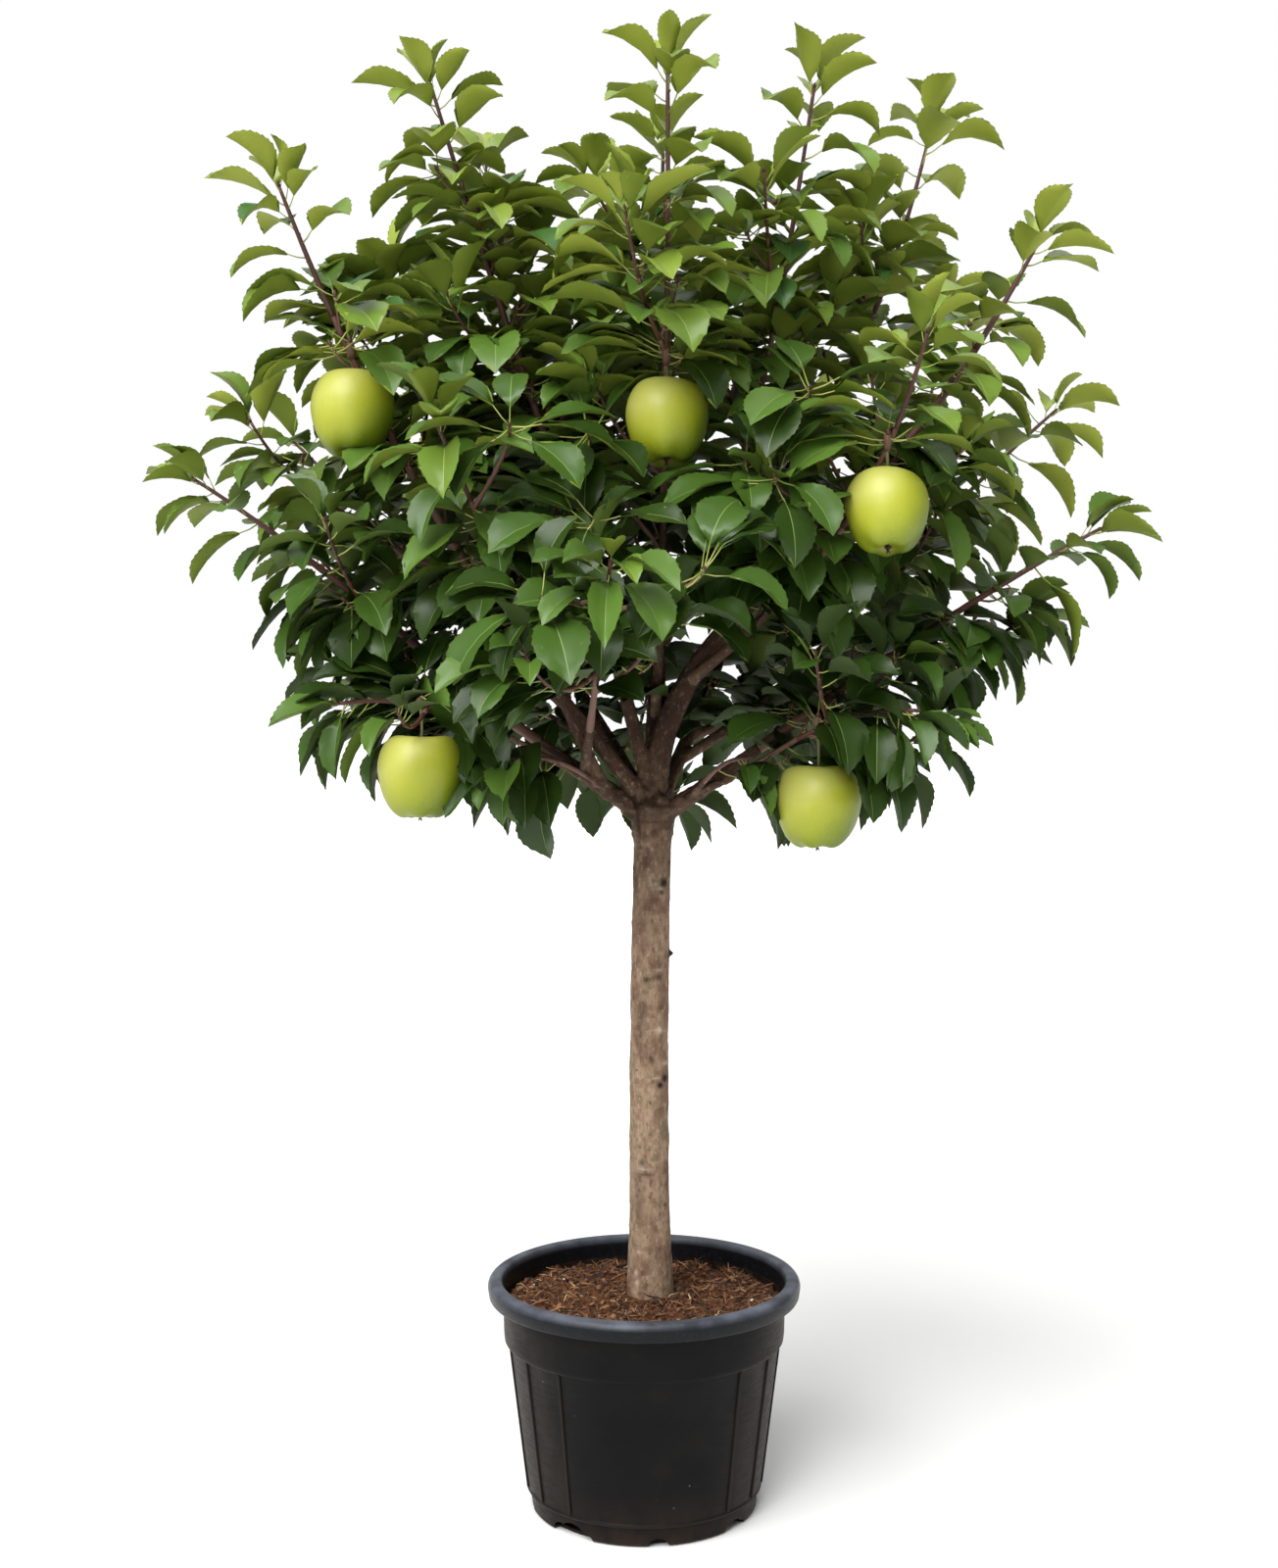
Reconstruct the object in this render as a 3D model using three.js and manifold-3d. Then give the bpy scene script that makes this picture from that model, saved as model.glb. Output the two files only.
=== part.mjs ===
// Dwarf apple tree in a round nursery pot: millimetres, +Z up, +X to the right, -Y to the front.
// The origin is the centre of the pot's flat underside.
import * as THREE from 'three';
import { mergeVertices } from 'three/addons/utils/BufferGeometryUtils.js';
import Module from 'manifold-3d';

const wasm = await Module();
wasm.setup();

const { degToRad, lerp, smoothstep } = THREE.MathUtils;
const UP = new THREE.Vector3(0, 0, 1);

// ---------------------------------------------------------------- driving dimensions
const GAP = 0.3; // clearance between neighbouring pieces
const WELD = 1e-3; // vertices nearer than this are one
const SHORTEST_EDGE = 0.02; // slivers shorter than this that a join leaves are closed up
const GOLDEN_TURN = 137.5; // degrees from one leaf or side shoot to the next

// Pot: a moulded nursery container with a rolled rim over a plain collar.
const POT_HEIGHT = 216;
const RIM_RADIUS = 150;
const RIM_INNER_RADIUS = 136;
const RIM_DEPTH = 21;
const RIM_ROUND = 5;
const COLLAR_FOOT = 156;
const COLLAR_RADIUS = 134;
const BODY_TOP_RADIUS = 129.5;
const BODY_FOOT_RADIUS = 109.5;
const FOOT_CORNER = 3;
const COLLAR_SPREAD = 1.5; // how much wider the collar is under the rim than at its foot
const LIP_CORNER = 2;
const WALL = 3;
const POT_SIDES = 36;

const BEAD_GROUPS = 3; // groups of upright beads round the body
const BEADS_IN_GROUP = 3;
const BEAD_STEP = 20; // degrees between the beads of a group
const BEAD_TURN = 213; // azimuth of the middle bead of the first group
const BEAD_WIDTH = 3;
const BEAD_HEIGHT = 1.4; // how far a bead stands out of the wall
const BEAD_FOOT = 20;
const BEAD_TOP = 157; // a bead runs a little way into the collar

const NOTCHES = 8; // drainage notches round the foot
const NOTCH_TURN = 277; // azimuth of the first notch
const NOTCH_WIDTH = 24;
const NOTCH_HEIGHT = 8;
const NOTCH_DEPTH = 13;

const SOIL_TOP = 194;
const SOIL_SIDES = 18;

// Trunk: from the soil to the knobbly head that the boughs leave.
const TRUNK_FOOT_X = 6;
const TRUNK_HEAD_X = 9;
const TRUNK_BOW = 2.5;
const TRUNK_HEAD = 676;
const TRUNK_LOW_RADIUS = 19.6;
const TRUNK_HIGH_RADIUS = 17.8;
const FLARE = 4; // how much the root flare adds to the radius at the soil
const FLARE_HEIGHT = 34;
const HEAD_SWELL = 4.5; // how much the head adds to the radius
const HEAD_LENGTH = 52;
const HEAD_ROUND = 10;
const HEAD_BLUNT = 0.35; // flat share of the rounding at the very top of the head
const TRUNK_SIDES = 12;
const TRUNK_STEPS = 12;

// Limbs: each runs as one curve from its parent to the tip of its leading shoot.
// Share of the curve that is bough, under a low tip and under a high one. The rest is the
// stem of its mass.
const BOUGH_SHARE_LOW = 0.24;
const BOUGH_SHARE_HIGH = 0.38;
const TIP_LOW = 850;
const TIP_HIGH = 1200;
const BOUGH_TAPER = 0.58; // radius at a bough's end over the radius at its foot
const START_PULL = 0.34; // how far the curve holds its first and last direction, over its chord
const END_PULL = 0.42;
const BOUGH_SIDES = 5;
const BOUGH_STEPS = 4;
const TWIG_SIDES = 3;
const STEM_STEPS = 6;
const STEM_STEP_IN = 0.95; // a stem's foot radius over the radius at its bough's end
const STEM_TIP_RADIUS = 1.7;

// Side shoots on a stem.
const SIDE_FIRST = 34; // distance of the first side shoot from the foot of its stem
const SIDE_STEP = 50; // about how far side shoots are apart
const SIDE_LEAST = 5; // side shoots on the shortest stem
const SIDE_BARE = 0.34; // share of a stem at its tip that bears leaves only
const SIDE_LENGTH = 190;
const SIDE_STEPS = 2;
const SIDE_RADIUS = 2.3;
const SIDE_TIP_RADIUS = 1.4;
const SIDE_SPREAD = 58; // degrees between a side shoot and its stem
const SIDE_RISE = 0.4; // how far a side shoot turns up, over its length
const SIDE_TRIES = [1, 0.72, 0.5]; // shares of the length that are tried until one fits
const SIDE_SHORTENING = 0.45; // how much shorter a side shoot is at the tip of its stem
const SIDE_RANGE = [0.8, 1.15]; // chance share of a side shoot's length
const SIDE_TURN = 50; // degrees that the first side shoots of one stem and the next are apart
const SIDE_CHECKS = [0.2, 0.4, 0.6, 0.8, 1];

// Leaves.
const LEAF_LENGTH = 106;
const LEAF_HALF_WIDTH = 30;
const LEAF_THICKNESS = 3;
const LEAF_WIDEST = 0.42; // where the blade is widest, over its length
const LEAF_STEP = 34;
const LEAF_FIRST = 26; // distance of the first leaf from the foot of its shoot
// Angle is between a leaf and its shoot, rise how far its seat follows that direction up or
// down, droop how far the blade bends down from its seat to its tip (degrees).
const GROWN_LEAF = { size: 1, angle: 56, rise: 0.6, droop: 62 };
const YOUNG_LEAF = { size: 0.85, angle: 34, rise: 0.95, droop: 44 };
const LEAF_TRIES = [0, 60, -60, 120, -120, 180]; // turns about the shoot that are tried until one fits
const TIP_LEAVES = 2;
const TIP_SEAT = 5; // how far below the tip of a shoot its tuft is seated
const LEAF_ROLL = 38; // most that a blade is turned about its midrib, either way
const LENGTH_RANGE = [0.88, 1.08]; // chance shares of a leaf's length and droop
const DROOP_RANGE = [0.8, 1.2];
const PITCH_RANGE = [-4, 14]; // chance degrees added to a leaf's pitch
const LEAF_SEAT = 0.6; // place of the first leaf under a tuft, over the leaf step
const LEAF_TURN = 70; // degrees that the first leaves of one shoot and the next are apart
const TIP_KEY = 90;
const HANG_LOW = 700; // leaves hang fully at this height and not at all from HANG_HIGH on
const HANG_HIGH = 1300;
const HANG_PITCH = 62;

// Space that a mass keeps to.
const CROWN_FOOT = 615;
const SPACE_MARGIN = 6; // how much nearer than to any other stem a point is to its own
const LIMB_MARGIN = 9; // clearance of leaves to trunk and boughs
const TWIG_MARGIN = 4;
const APPLE_MARGIN = 5;
const BLADE_MARGIN = 11; // least distance between the sample points of two leaves
const BLADE_ROWS = [[0.2, 0.6], [0.42, 1], [0.7, 0.65], [1, 0]]; // way along a blade, share of its width

// Apples.
const APPLE_RADIUS = 38;
const APPLE_HEIGHT = 76;
const APPLE_SIDES = 7;
const STALK_RADIUS = 1.8;

// One row for each bough with its mass of foliage. The tip of the leading shoot lies at
// azimuth (degrees from +X), reach from the pot's axis and height. Lean and start are the
// curve's angles from upright at its tip and its foot. At is the share of the parent.
const LIMB_ROWS = [
  // name, parent, at, azimuth, reach, height, lean, start, foot radius
  ['far_left', 'trunk', 0.955, 194, 408, 944, 58, 58, 10.5],
  ['far_right', 'trunk', 0.95, 349, 420, 919, 62, 56, 10],
  ['top', 'trunk', 0.975, 80, 110, 1335, 2, 18, 11],
  ['left_upper', 'trunk', 0.975, 203, 354, 1229, 22, 42, 8.5],
  ['upper_left', 'trunk', 0.98, 205, 215, 1332, 18, 14, 8],
  ['front_low', 'far_left', 0.6, 266, 372, 880, 62, 62, 6.5],
  ['rear_left', 'trunk', 0.965, 128, 372, 1120, 30, 44, 8.5],
  ['rear_right', 'trunk', 0.96, 62, 382, 1110, 30, 46, 9],
  ['low_left', 'far_left', 0.5, 215, 345, 765, 100, 68, 5],
  ['front_left', 'far_left', 0.4, 236, 315, 1010, 40, 46, 6],
  ['left_rear', 'left_upper', 0.5, 163, 430, 1074, 50, 55, 5.5],
  ['rear_low_left', 'rear_left', 0.4, 140, 388, 850, 70, 70, 6],
  ['top_front', 'top', 0.35, 276, 195, 1318, -6, 44, 6],
  ['upper_right', 'top', 0.6, 341, 168, 1342, 10, 35, 6],
  ['right_upper', 'top', 0.8, 16, 300, 1345, 13, 50, 6],
  ['right', 'trunk', 0.97, 349, 412, 1184, 28, 0, 13.5],
  ['right_rear', 'rear_right', 0.35, 18, 445, 1066, 50, 60, 6],
  ['rear_low_right', 'rear_right', 0.5, 47, 388, 850, 70, 75, 6],
  ['low_right', 'far_right', 0.4, 322, 300, 762, 92, 75, 5],
  ['front_right', 'right', 0.5, 314.5, 340, 1080, 20, 60, 6.5],
  ['skirt_left', 'far_left', 0.4, 228, 190, 716, 98, 66, 4.5],
  ['skirt_right', 'far_right', 0.35, 304, 180, 716, 98, 66, 4.5],
  ['skirt_rear', 'rear_left', 0.35, 92, 190, 705, 98, 70, 4.5],
];

// Fruit: how far back from the tip of its leading shoot it hangs, and how far below it.
const FRUIT_ROWS = {
  left_upper: { back: 162, drop: 14 },
  top_front: { back: 255, drop: 14 },
  front_right: { back: 105, drop: 16 },
  low_left: { back: 105, drop: 26 },
  low_right: { back: 111, drop: 32 },
};

// ---------------------------------------------------------------- helpers

// A number from 0 to 1 that is always the same for the same keys.
function chance(...keys) {
  const mixed = keys.reduce((sum, key, place) => sum + key * (12.9898 + 65.234 * place), 1.37);
  const wave = Math.sin(mixed) * 43758.5453;
  return wave - Math.floor(wave);
}

function spread(low, high, ...keys) {
  return lerp(low, high, chance(...keys));
}

function polar(azimuth, reach, height) {
  const angle = degToRad(azimuth);
  return new THREE.Vector3(Math.cos(angle) * reach, Math.sin(angle) * reach, height);
}

// The level direction of a vector, or a fallback where it points straight up or down.
function levelDirection(vector, fallback) {
  const level = new THREE.Vector3(vector.x, vector.y, 0);
  return level.length() > 1e-3 ? level.normalize() : fallback.clone();
}

function toSolid(geometry) {
  const bare = geometry.clone();
  bare.deleteAttribute('normal');
  bare.deleteAttribute('uv');
  const merged = mergeVertices(bare, WELD);
  const corners = merged.index.array;
  const faces = [];
  for (let i = 0; i < corners.length; i += 3) {
    const [a, b, c] = corners.slice(i, i + 3);
    if (a !== b && b !== c && c !== a) {
      faces.push(a, b, c);
    }
  }
  const mesh = new wasm.Mesh({
    numProp: 3,
    vertProperties: Float32Array.from(merged.attributes.position.array),
    triVerts: Uint32Array.from(faces),
  });
  return new wasm.Manifold(mesh);
}

function toGeometry(solid) {
  const mesh = solid.getMesh();
  const geometry = new THREE.BufferGeometry();
  geometry.setAttribute('position', new THREE.BufferAttribute(mesh.vertProperties, 3));
  geometry.setIndex(new THREE.BufferAttribute(mesh.triVerts, 1));
  geometry.computeVertexNormals();
  return geometry;
}

// Joins solids into one closed body; sealed hollows are filled and loose scraps dropped.
function fuse(solids) {
  const joined = solids.reduce((whole, solid) => whole.add(solid));
  const bodies = toSolid(toGeometry(joined)).simplify(SHORTEST_EDGE).decompose();
  return bodies.reduce((best, body) => (body.volume() > best.volume() ? body : best));
}

// Moves each vertex of a geometry by a function of its local position.
function reshape(geometry, place) {
  const position = geometry.attributes.position;
  const point = new THREE.Vector3();
  for (let i = 0; i < position.count; i++) {
    point.fromBufferAttribute(position, i);
    point.copy(place(point.x, point.y, point.z));
    position.setXYZ(i, point.x, point.y, point.z);
  }
  return geometry;
}

// A closed limb: the rings of a lathe carried along a stretch of a curve.
function limbSolid(curve, from, to, radiusAt, sides, steps) {
  const profile = [new THREE.Vector2(0, 0)];
  for (let i = 0; i <= steps; i++) {
    profile.push(new THREE.Vector2(1, i / steps));
  }
  profile.push(new THREE.Vector2(0, 1));
  const first = curve.getTangentAt(from);
  const bend = new THREE.Vector3().crossVectors(first, curve.getTangentAt(to));
  if (bend.length() < 1e-3) {
    bend.crossVectors(first, Math.abs(first.z) > 0.9 ? new THREE.Vector3(0, 1, 0) : UP);
  }
  bend.normalize();
  return toSolid(reshape(new THREE.LatheGeometry(profile, sides), (x, along, z) => {
    const way = lerp(from, to, along);
    const tangent = curve.getTangentAt(way);
    const side = new THREE.Vector3().crossVectors(tangent, bend).normalize();
    const other = new THREE.Vector3().crossVectors(side, tangent);
    const radius = radiusAt(along);
    return curve.getPointAt(way).addScaledVector(side, x * radius).addScaledVector(other, z * radius);
  }));
}

// ---------------------------------------------------------------- pot and soil

function bodyRadius(height) {
  return lerp(BODY_FOOT_RADIUS, BODY_TOP_RADIUS, height / COLLAR_FOOT);
}

function potSolid() {
  const rimFoot = POT_HEIGHT - RIM_DEPTH;
  const outline = [
    [0, 0],
    [BODY_FOOT_RADIUS - FOOT_CORNER, 0],
    [BODY_FOOT_RADIUS, FOOT_CORNER],
    [BODY_TOP_RADIUS, COLLAR_FOOT],
    [COLLAR_RADIUS, COLLAR_FOOT + WALL],
    [COLLAR_RADIUS + COLLAR_SPREAD, rimFoot],
    [RIM_RADIUS - RIM_ROUND, rimFoot],
    [RIM_RADIUS, rimFoot + RIM_ROUND],
    [RIM_RADIUS, POT_HEIGHT - RIM_ROUND],
    [RIM_RADIUS - RIM_ROUND, POT_HEIGHT],
    [RIM_INNER_RADIUS + LIP_CORNER, POT_HEIGHT],
    [RIM_INNER_RADIUS, POT_HEIGHT - LIP_CORNER],
    [COLLAR_RADIUS + COLLAR_SPREAD - WALL, rimFoot],
    [COLLAR_RADIUS - WALL, COLLAR_FOOT + 2 * WALL],
    [bodyRadius(COLLAR_FOOT) - WALL, COLLAR_FOOT],
    [bodyRadius(WALL) - WALL, WALL],
    [0, WALL],
  ].map(([radius, height]) => new THREE.Vector2(radius, height));
  const shell = new THREE.LatheGeometry(outline, POT_SIDES).rotateX(Math.PI / 2);

  const beads = [];
  const beadLength = BEAD_TOP - BEAD_FOOT;
  const middle = (BEAD_TOP + BEAD_FOOT) / 2;
  const slope = Math.atan2(BODY_TOP_RADIUS - BODY_FOOT_RADIUS, COLLAR_FOOT);
  for (let i = 0; i < BEAD_GROUPS * BEADS_IN_GROUP; i++) {
    const place = (i % BEADS_IN_GROUP) - (BEADS_IN_GROUP - 1) / 2;
    const turn = BEAD_TURN + place * BEAD_STEP + (Math.floor(i / BEADS_IN_GROUP) * 360) / BEAD_GROUPS;
    const bead = new THREE.BoxGeometry(WALL, BEAD_WIDTH, beadLength)
      .rotateY(slope)
      .translate(bodyRadius(middle) - WALL / 2 + BEAD_HEIGHT, 0, middle)
      .rotateZ(degToRad(turn));
    beads.push(toSolid(bead));
  }

  let pot = fuse([toSolid(shell), ...beads]);
  for (let i = 0; i < NOTCHES; i++) {
    const notch = new THREE.BoxGeometry(NOTCH_DEPTH + WALL, NOTCH_WIDTH, 2 * NOTCH_HEIGHT)
      .translate(BODY_FOOT_RADIUS - NOTCH_DEPTH / 2 + WALL, 0, 0)
      .rotateZ(degToRad(NOTCH_TURN + (i * 360) / NOTCHES));
    pot = pot.subtract(toSolid(notch));
  }
  return fuse([pot]);
}

function soilSolid() {
  const inner = (height) => bodyRadius(height) - WALL - GAP;
  const outline = [
    [0, WALL + GAP],
    [inner(WALL) - NOTCH_DEPTH, WALL + GAP],
    [inner(WALL + NOTCH_DEPTH), WALL + NOTCH_DEPTH],
    [inner(COLLAR_FOOT), COLLAR_FOOT],
    [COLLAR_RADIUS - 2 * WALL, SOIL_TOP],
    [0, SOIL_TOP],
  ].map(([radius, height]) => new THREE.Vector2(radius, height));
  return toSolid(new THREE.LatheGeometry(outline, SOIL_SIDES).rotateX(Math.PI / 2));
}

// ---------------------------------------------------------------- trunk and limbs

const trunkFoot = SOIL_TOP + GAP;
const trunkLength = TRUNK_HEAD - trunkFoot;

class TrunkCurve extends THREE.Curve {
  getPoint(way, target = new THREE.Vector3()) {
    const x = lerp(TRUNK_FOOT_X, TRUNK_HEAD_X, way) - TRUNK_BOW * Math.sin(Math.PI * way);
    return target.set(x, 0, trunkFoot + trunkLength * way);
  }
}

function trunkRadius(way) {
  const height = way * trunkLength;
  const below = trunkLength - height;
  const flare = FLARE * (1 - smoothstep(height, 0, FLARE_HEIGHT));
  const swell = HEAD_SWELL * (1 - smoothstep(below, HEAD_ROUND, HEAD_LENGTH));
  const round = Math.sqrt(Math.min(1, (below + HEAD_BLUNT * HEAD_ROUND) / HEAD_ROUND));
  return (lerp(TRUNK_LOW_RADIUS, TRUNK_HIGH_RADIUS, way) + flare + swell) * round;
}

const trunk = { name: 'trunk', curve: new TrunkCurve(), from: 0, to: 1, radiusAt: trunkRadius };

// The curve of a limb from its parent to the tip of its leading shoot.
function limbCurve(foot, tip, start, lean) {
  const chord = foot.distanceTo(tip);
  const out = levelDirection(tip.clone().sub(foot), new THREE.Vector3(1, 0, 0));
  const direction = (angle) => new THREE.Vector3()
    .addScaledVector(out, Math.sin(degToRad(angle)))
    .addScaledVector(UP, Math.cos(degToRad(angle)));
  return new THREE.CubicBezierCurve3(
    foot,
    foot.clone().addScaledVector(direction(start), chord * START_PULL),
    tip.clone().addScaledVector(direction(lean), -chord * END_PULL),
    tip,
  );
}

const limbs = [];
for (const [name, parentName, at, azimuth, reach, height, lean, start, radius] of LIMB_ROWS) {
  const parent = limbs.find((limb) => limb.name === parentName) ?? trunk;
  const foot = parent.curve.getPointAt(parent.to * at);
  const curve = limbCurve(foot, polar(azimuth, reach, height), start, lean);
  limbs.push({
    name,
    parent,
    curve,
    length: curve.getLength(),
    from: 0,
    to: lerp(BOUGH_SHARE_LOW, BOUGH_SHARE_HIGH, smoothstep(height, TIP_LOW, TIP_HIGH)),
    endRadius: radius * BOUGH_TAPER,
    radiusAt: (along) => radius * lerp(1, BOUGH_TAPER, along),
  });
}

for (const [name, { back, drop }] of Object.entries(FRUIT_ROWS)) {
  const limb = limbs.find((one) => one.name === name);
  const seat = limb.curve.getPointAt(1 - back / limb.length);
  limb.fruit = { seat, centre: seat.clone().addScaledVector(UP, -drop - APPLE_HEIGHT / 2) };
}

// ---------------------------------------------------------------- spaces

const SAMPLE_STEP = 10;

// Points along a stretch of a limb, with its radius at each.
function samples(limb, from, to, radiusAt) {
  const count = Math.ceil((limb.curve.getLength() * (to - from)) / SAMPLE_STEP);
  return Array.from({ length: count + 1 }, (_, i) => ({
    point: limb.curve.getPointAt(lerp(from, to, i / count)),
    radius: radiusAt(i / count),
  }));
}

const limbPoints = [trunk, ...limbs].flatMap((limb) => samples(limb, limb.from, limb.to, limb.radiusAt));
const stemPoints = limbs.map((limb) => samples(limb, limb.to, 1, () => 0));
const apples = limbs.filter((limb) => limb.fruit)
  .map((limb) => ({ point: limb.fruit.centre, radius: APPLE_RADIUS }));

function nearest(point, points) {
  return Math.min(...points.map((sample) => point.distanceTo(sample.point) - sample.radius));
}

// Whether points lie in the space of mass number own: nearer to its stem than to any other,
// above the crown's foot and clear of every limb and apple.
function fits(points, own, limbMargin) {
  return points.every((point) => {
    if (point.z < CROWN_FOOT || nearest(point, limbPoints) < limbMargin) {
      return false;
    }
    if (nearest(point, apples) < APPLE_MARGIN) {
      return false;
    }
    const near = nearest(point, stemPoints[own]) + SPACE_MARGIN;
    return stemPoints.every((other, i) => i === own || nearest(point, other) > near);
  });
}

// ---------------------------------------------------------------- foliage

// A direction at an angle from a shoot, turned about it.
function branchDirection(tangent, angle, turn) {
  const side = levelDirection(new THREE.Vector3().crossVectors(tangent, UP), new THREE.Vector3(1, 0, 0));
  const rise = new THREE.Vector3().crossVectors(side, tangent).normalize();
  return tangent.clone().multiplyScalar(Math.cos(degToRad(angle)))
    .addScaledVector(side, Math.sin(degToRad(angle)) * Math.cos(degToRad(turn)))
    .addScaledVector(rise, Math.sin(degToRad(angle)) * Math.sin(degToRad(turn)));
}

// How a leaf lies: it leaves its seat at a pitch over its level heading and bends down
// by droop towards its tip, rolled a little about its midrib.
function leafPose(seat, direction, kind, ...keys) {
  const heading = levelDirection(direction, new THREE.Vector3(1, 0, 0));
  const hang = HANG_PITCH * (1 - smoothstep(seat.z, HANG_LOW, HANG_HIGH));
  const rise = kind.rise * Math.asin(THREE.MathUtils.clamp(direction.z, -1, 1));
  return {
    seat,
    heading,
    length: LEAF_LENGTH * kind.size * spread(...LENGTH_RANGE, ...keys, 4),
    pitch: rise + degToRad(spread(...PITCH_RANGE, ...keys, 1) - hang),
    droop: degToRad(kind.droop * spread(...DROOP_RANGE, ...keys, 2)),
    roll: degToRad(spread(-LEAF_ROLL, LEAF_ROLL, ...keys, 3)),
  };
}

// A point of a leaf: way along it from 0 to 1, across its midrib and above its blade.
function leafPoint(pose, way, across, above) {
  const angle = pose.pitch - pose.droop * way;
  const forward = (pose.length / pose.droop) * (Math.sin(pose.pitch) - Math.sin(angle));
  const upward = (pose.length / pose.droop) * (Math.cos(angle) - Math.cos(pose.pitch));
  const side = new THREE.Vector3().crossVectors(UP, pose.heading);
  const normal = UP.clone().multiplyScalar(Math.cos(angle)).addScaledVector(pose.heading, -Math.sin(angle));
  const acrossSide = across * Math.cos(pose.roll) - above * Math.sin(pose.roll);
  const acrossNormal = across * Math.sin(pose.roll) + above * Math.cos(pose.roll);
  return pose.seat.clone()
    .addScaledVector(pose.heading, forward)
    .addScaledVector(UP, upward)
    .addScaledVector(side, acrossSide)
    .addScaledVector(normal, acrossNormal);
}

// A blade of six faces: seat, tip, two margins and the keel of the midrib under them.
function leafSolid(pose) {
  return toSolid(reshape(new THREE.SphereGeometry(1, 3, 2), (x, y, z) => {
    const way = y < 0 ? LEAF_WIDEST * (1 + y) : lerp(LEAF_WIDEST, 1, y);
    const across = (z * LEAF_HALF_WIDTH) / Math.sin(Math.PI / 3);
    return leafPoint(pose, way, across, (x * LEAF_THICKNESS) / 1.5);
  }));
}

// Points spread over a blade, from its root row on, which tell whether the leaf fits.
function leafPoints(pose) {
  return BLADE_ROWS.flatMap(([way, share]) => [-1, 0, 1].map(
    (across) => leafPoint(pose, way, across * share * LEAF_HALF_WIDTH, 0),
  ));
}

// Whether two blades keep clear of each other beyond their root rows.
function areApart(blade, other) {
  const root = 3;
  const outer = other.slice(root);
  return blade.slice(root).every((point) => outer.every((next) => point.distanceTo(next) > BLADE_MARGIN));
}

// A side shoot curves up from where it leaves its stem.
function sideCurve(foot, direction, length) {
  const middle = foot.clone().addScaledVector(direction, length * 0.5);
  const tip = foot.clone().addScaledVector(direction, length * (1 - SIDE_RISE / 2));
  return new THREE.QuadraticBezierCurve3(foot, middle, tip.addScaledVector(UP, length * SIDE_RISE));
}

function sideShoot(limb, own, distance, number) {
  const way = limb.to + distance / limb.length;
  const foot = limb.curve.getPointAt(way);
  const stemShare = distance / (limb.length * (1 - limb.to));
  const turn = number * GOLDEN_TURN + own * SIDE_TURN;
  const direction = branchDirection(limb.curve.getTangentAt(way), SIDE_SPREAD, turn);
  const fullLength = SIDE_LENGTH * (1 - SIDE_SHORTENING * stemShare) * spread(...SIDE_RANGE, own, number, 7);
  for (const share of SIDE_TRIES) {
    const curve = sideCurve(foot, direction, fullLength * share);
    const points = SIDE_CHECKS.map((at) => curve.getPointAt(at));
    if (fits(points, own, TWIG_MARGIN)) {
      return { curve, length: curve.getLength(), from: 0, keys: [own, number] };
    }
  }
  return null;
}

// The leaf at one place of a shoot, turned until it fits; null where no turn does.
function leafAt(shoot, distance, kind, turn, takesPlace, ...keys) {
  const seat = shoot.curve.getPointAt(distance / shoot.length);
  const tangent = shoot.curve.getTangentAt(distance / shoot.length);
  for (const extra of LEAF_TRIES) {
    const pose = leafPose(seat, branchDirection(tangent, kind.angle, turn + extra), kind, ...keys);
    if (takesPlace(leafPoints(pose))) {
      return pose;
    }
  }
  return null;
}

// A tuft at the tip of a shoot, then leaves back along it.
function leavesOn(shoot, takesPlace) {
  const { length, from, keys } = shoot;
  const shift = keys[1] * LEAF_TURN;
  const poses = [];
  for (let i = 0; i < TIP_LEAVES; i++) {
    const turn = (i * 360) / TIP_LEAVES + shift;
    const seat = length - TIP_SEAT * (1 + 2 * i);
    poses.push(leafAt(shoot, seat, YOUNG_LEAF, turn, takesPlace, ...keys, TIP_KEY + i));
  }
  const count = Math.floor((length - from - LEAF_FIRST) / LEAF_STEP);
  for (let i = 0; i < count; i++) {
    const turn = i * GOLDEN_TURN + shift;
    const seat = length - LEAF_STEP * (i + LEAF_SEAT);
    poses.push(leafAt(shoot, seat, GROWN_LEAF, turn, takesPlace, ...keys, i));
  }
  return poses.filter((pose) => pose);
}

function appleSolid(centre) {
  const half = APPLE_HEIGHT / 2;
  const outline = [
    [0, -0.84],
    [0.3, -1],
    [0.66, -0.78],
    [0.92, -0.2],
    [1, 0.22],
    [0.84, 0.76],
    [0.42, 1],
    [0, 0.72],
  ].map(([radius, height]) => new THREE.Vector2(radius * APPLE_RADIUS, height * half));
  const apple = new THREE.LatheGeometry(outline, APPLE_SIDES).rotateX(Math.PI / 2);
  return toSolid(apple.translate(centre.x, centre.y, centre.z));
}

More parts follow.
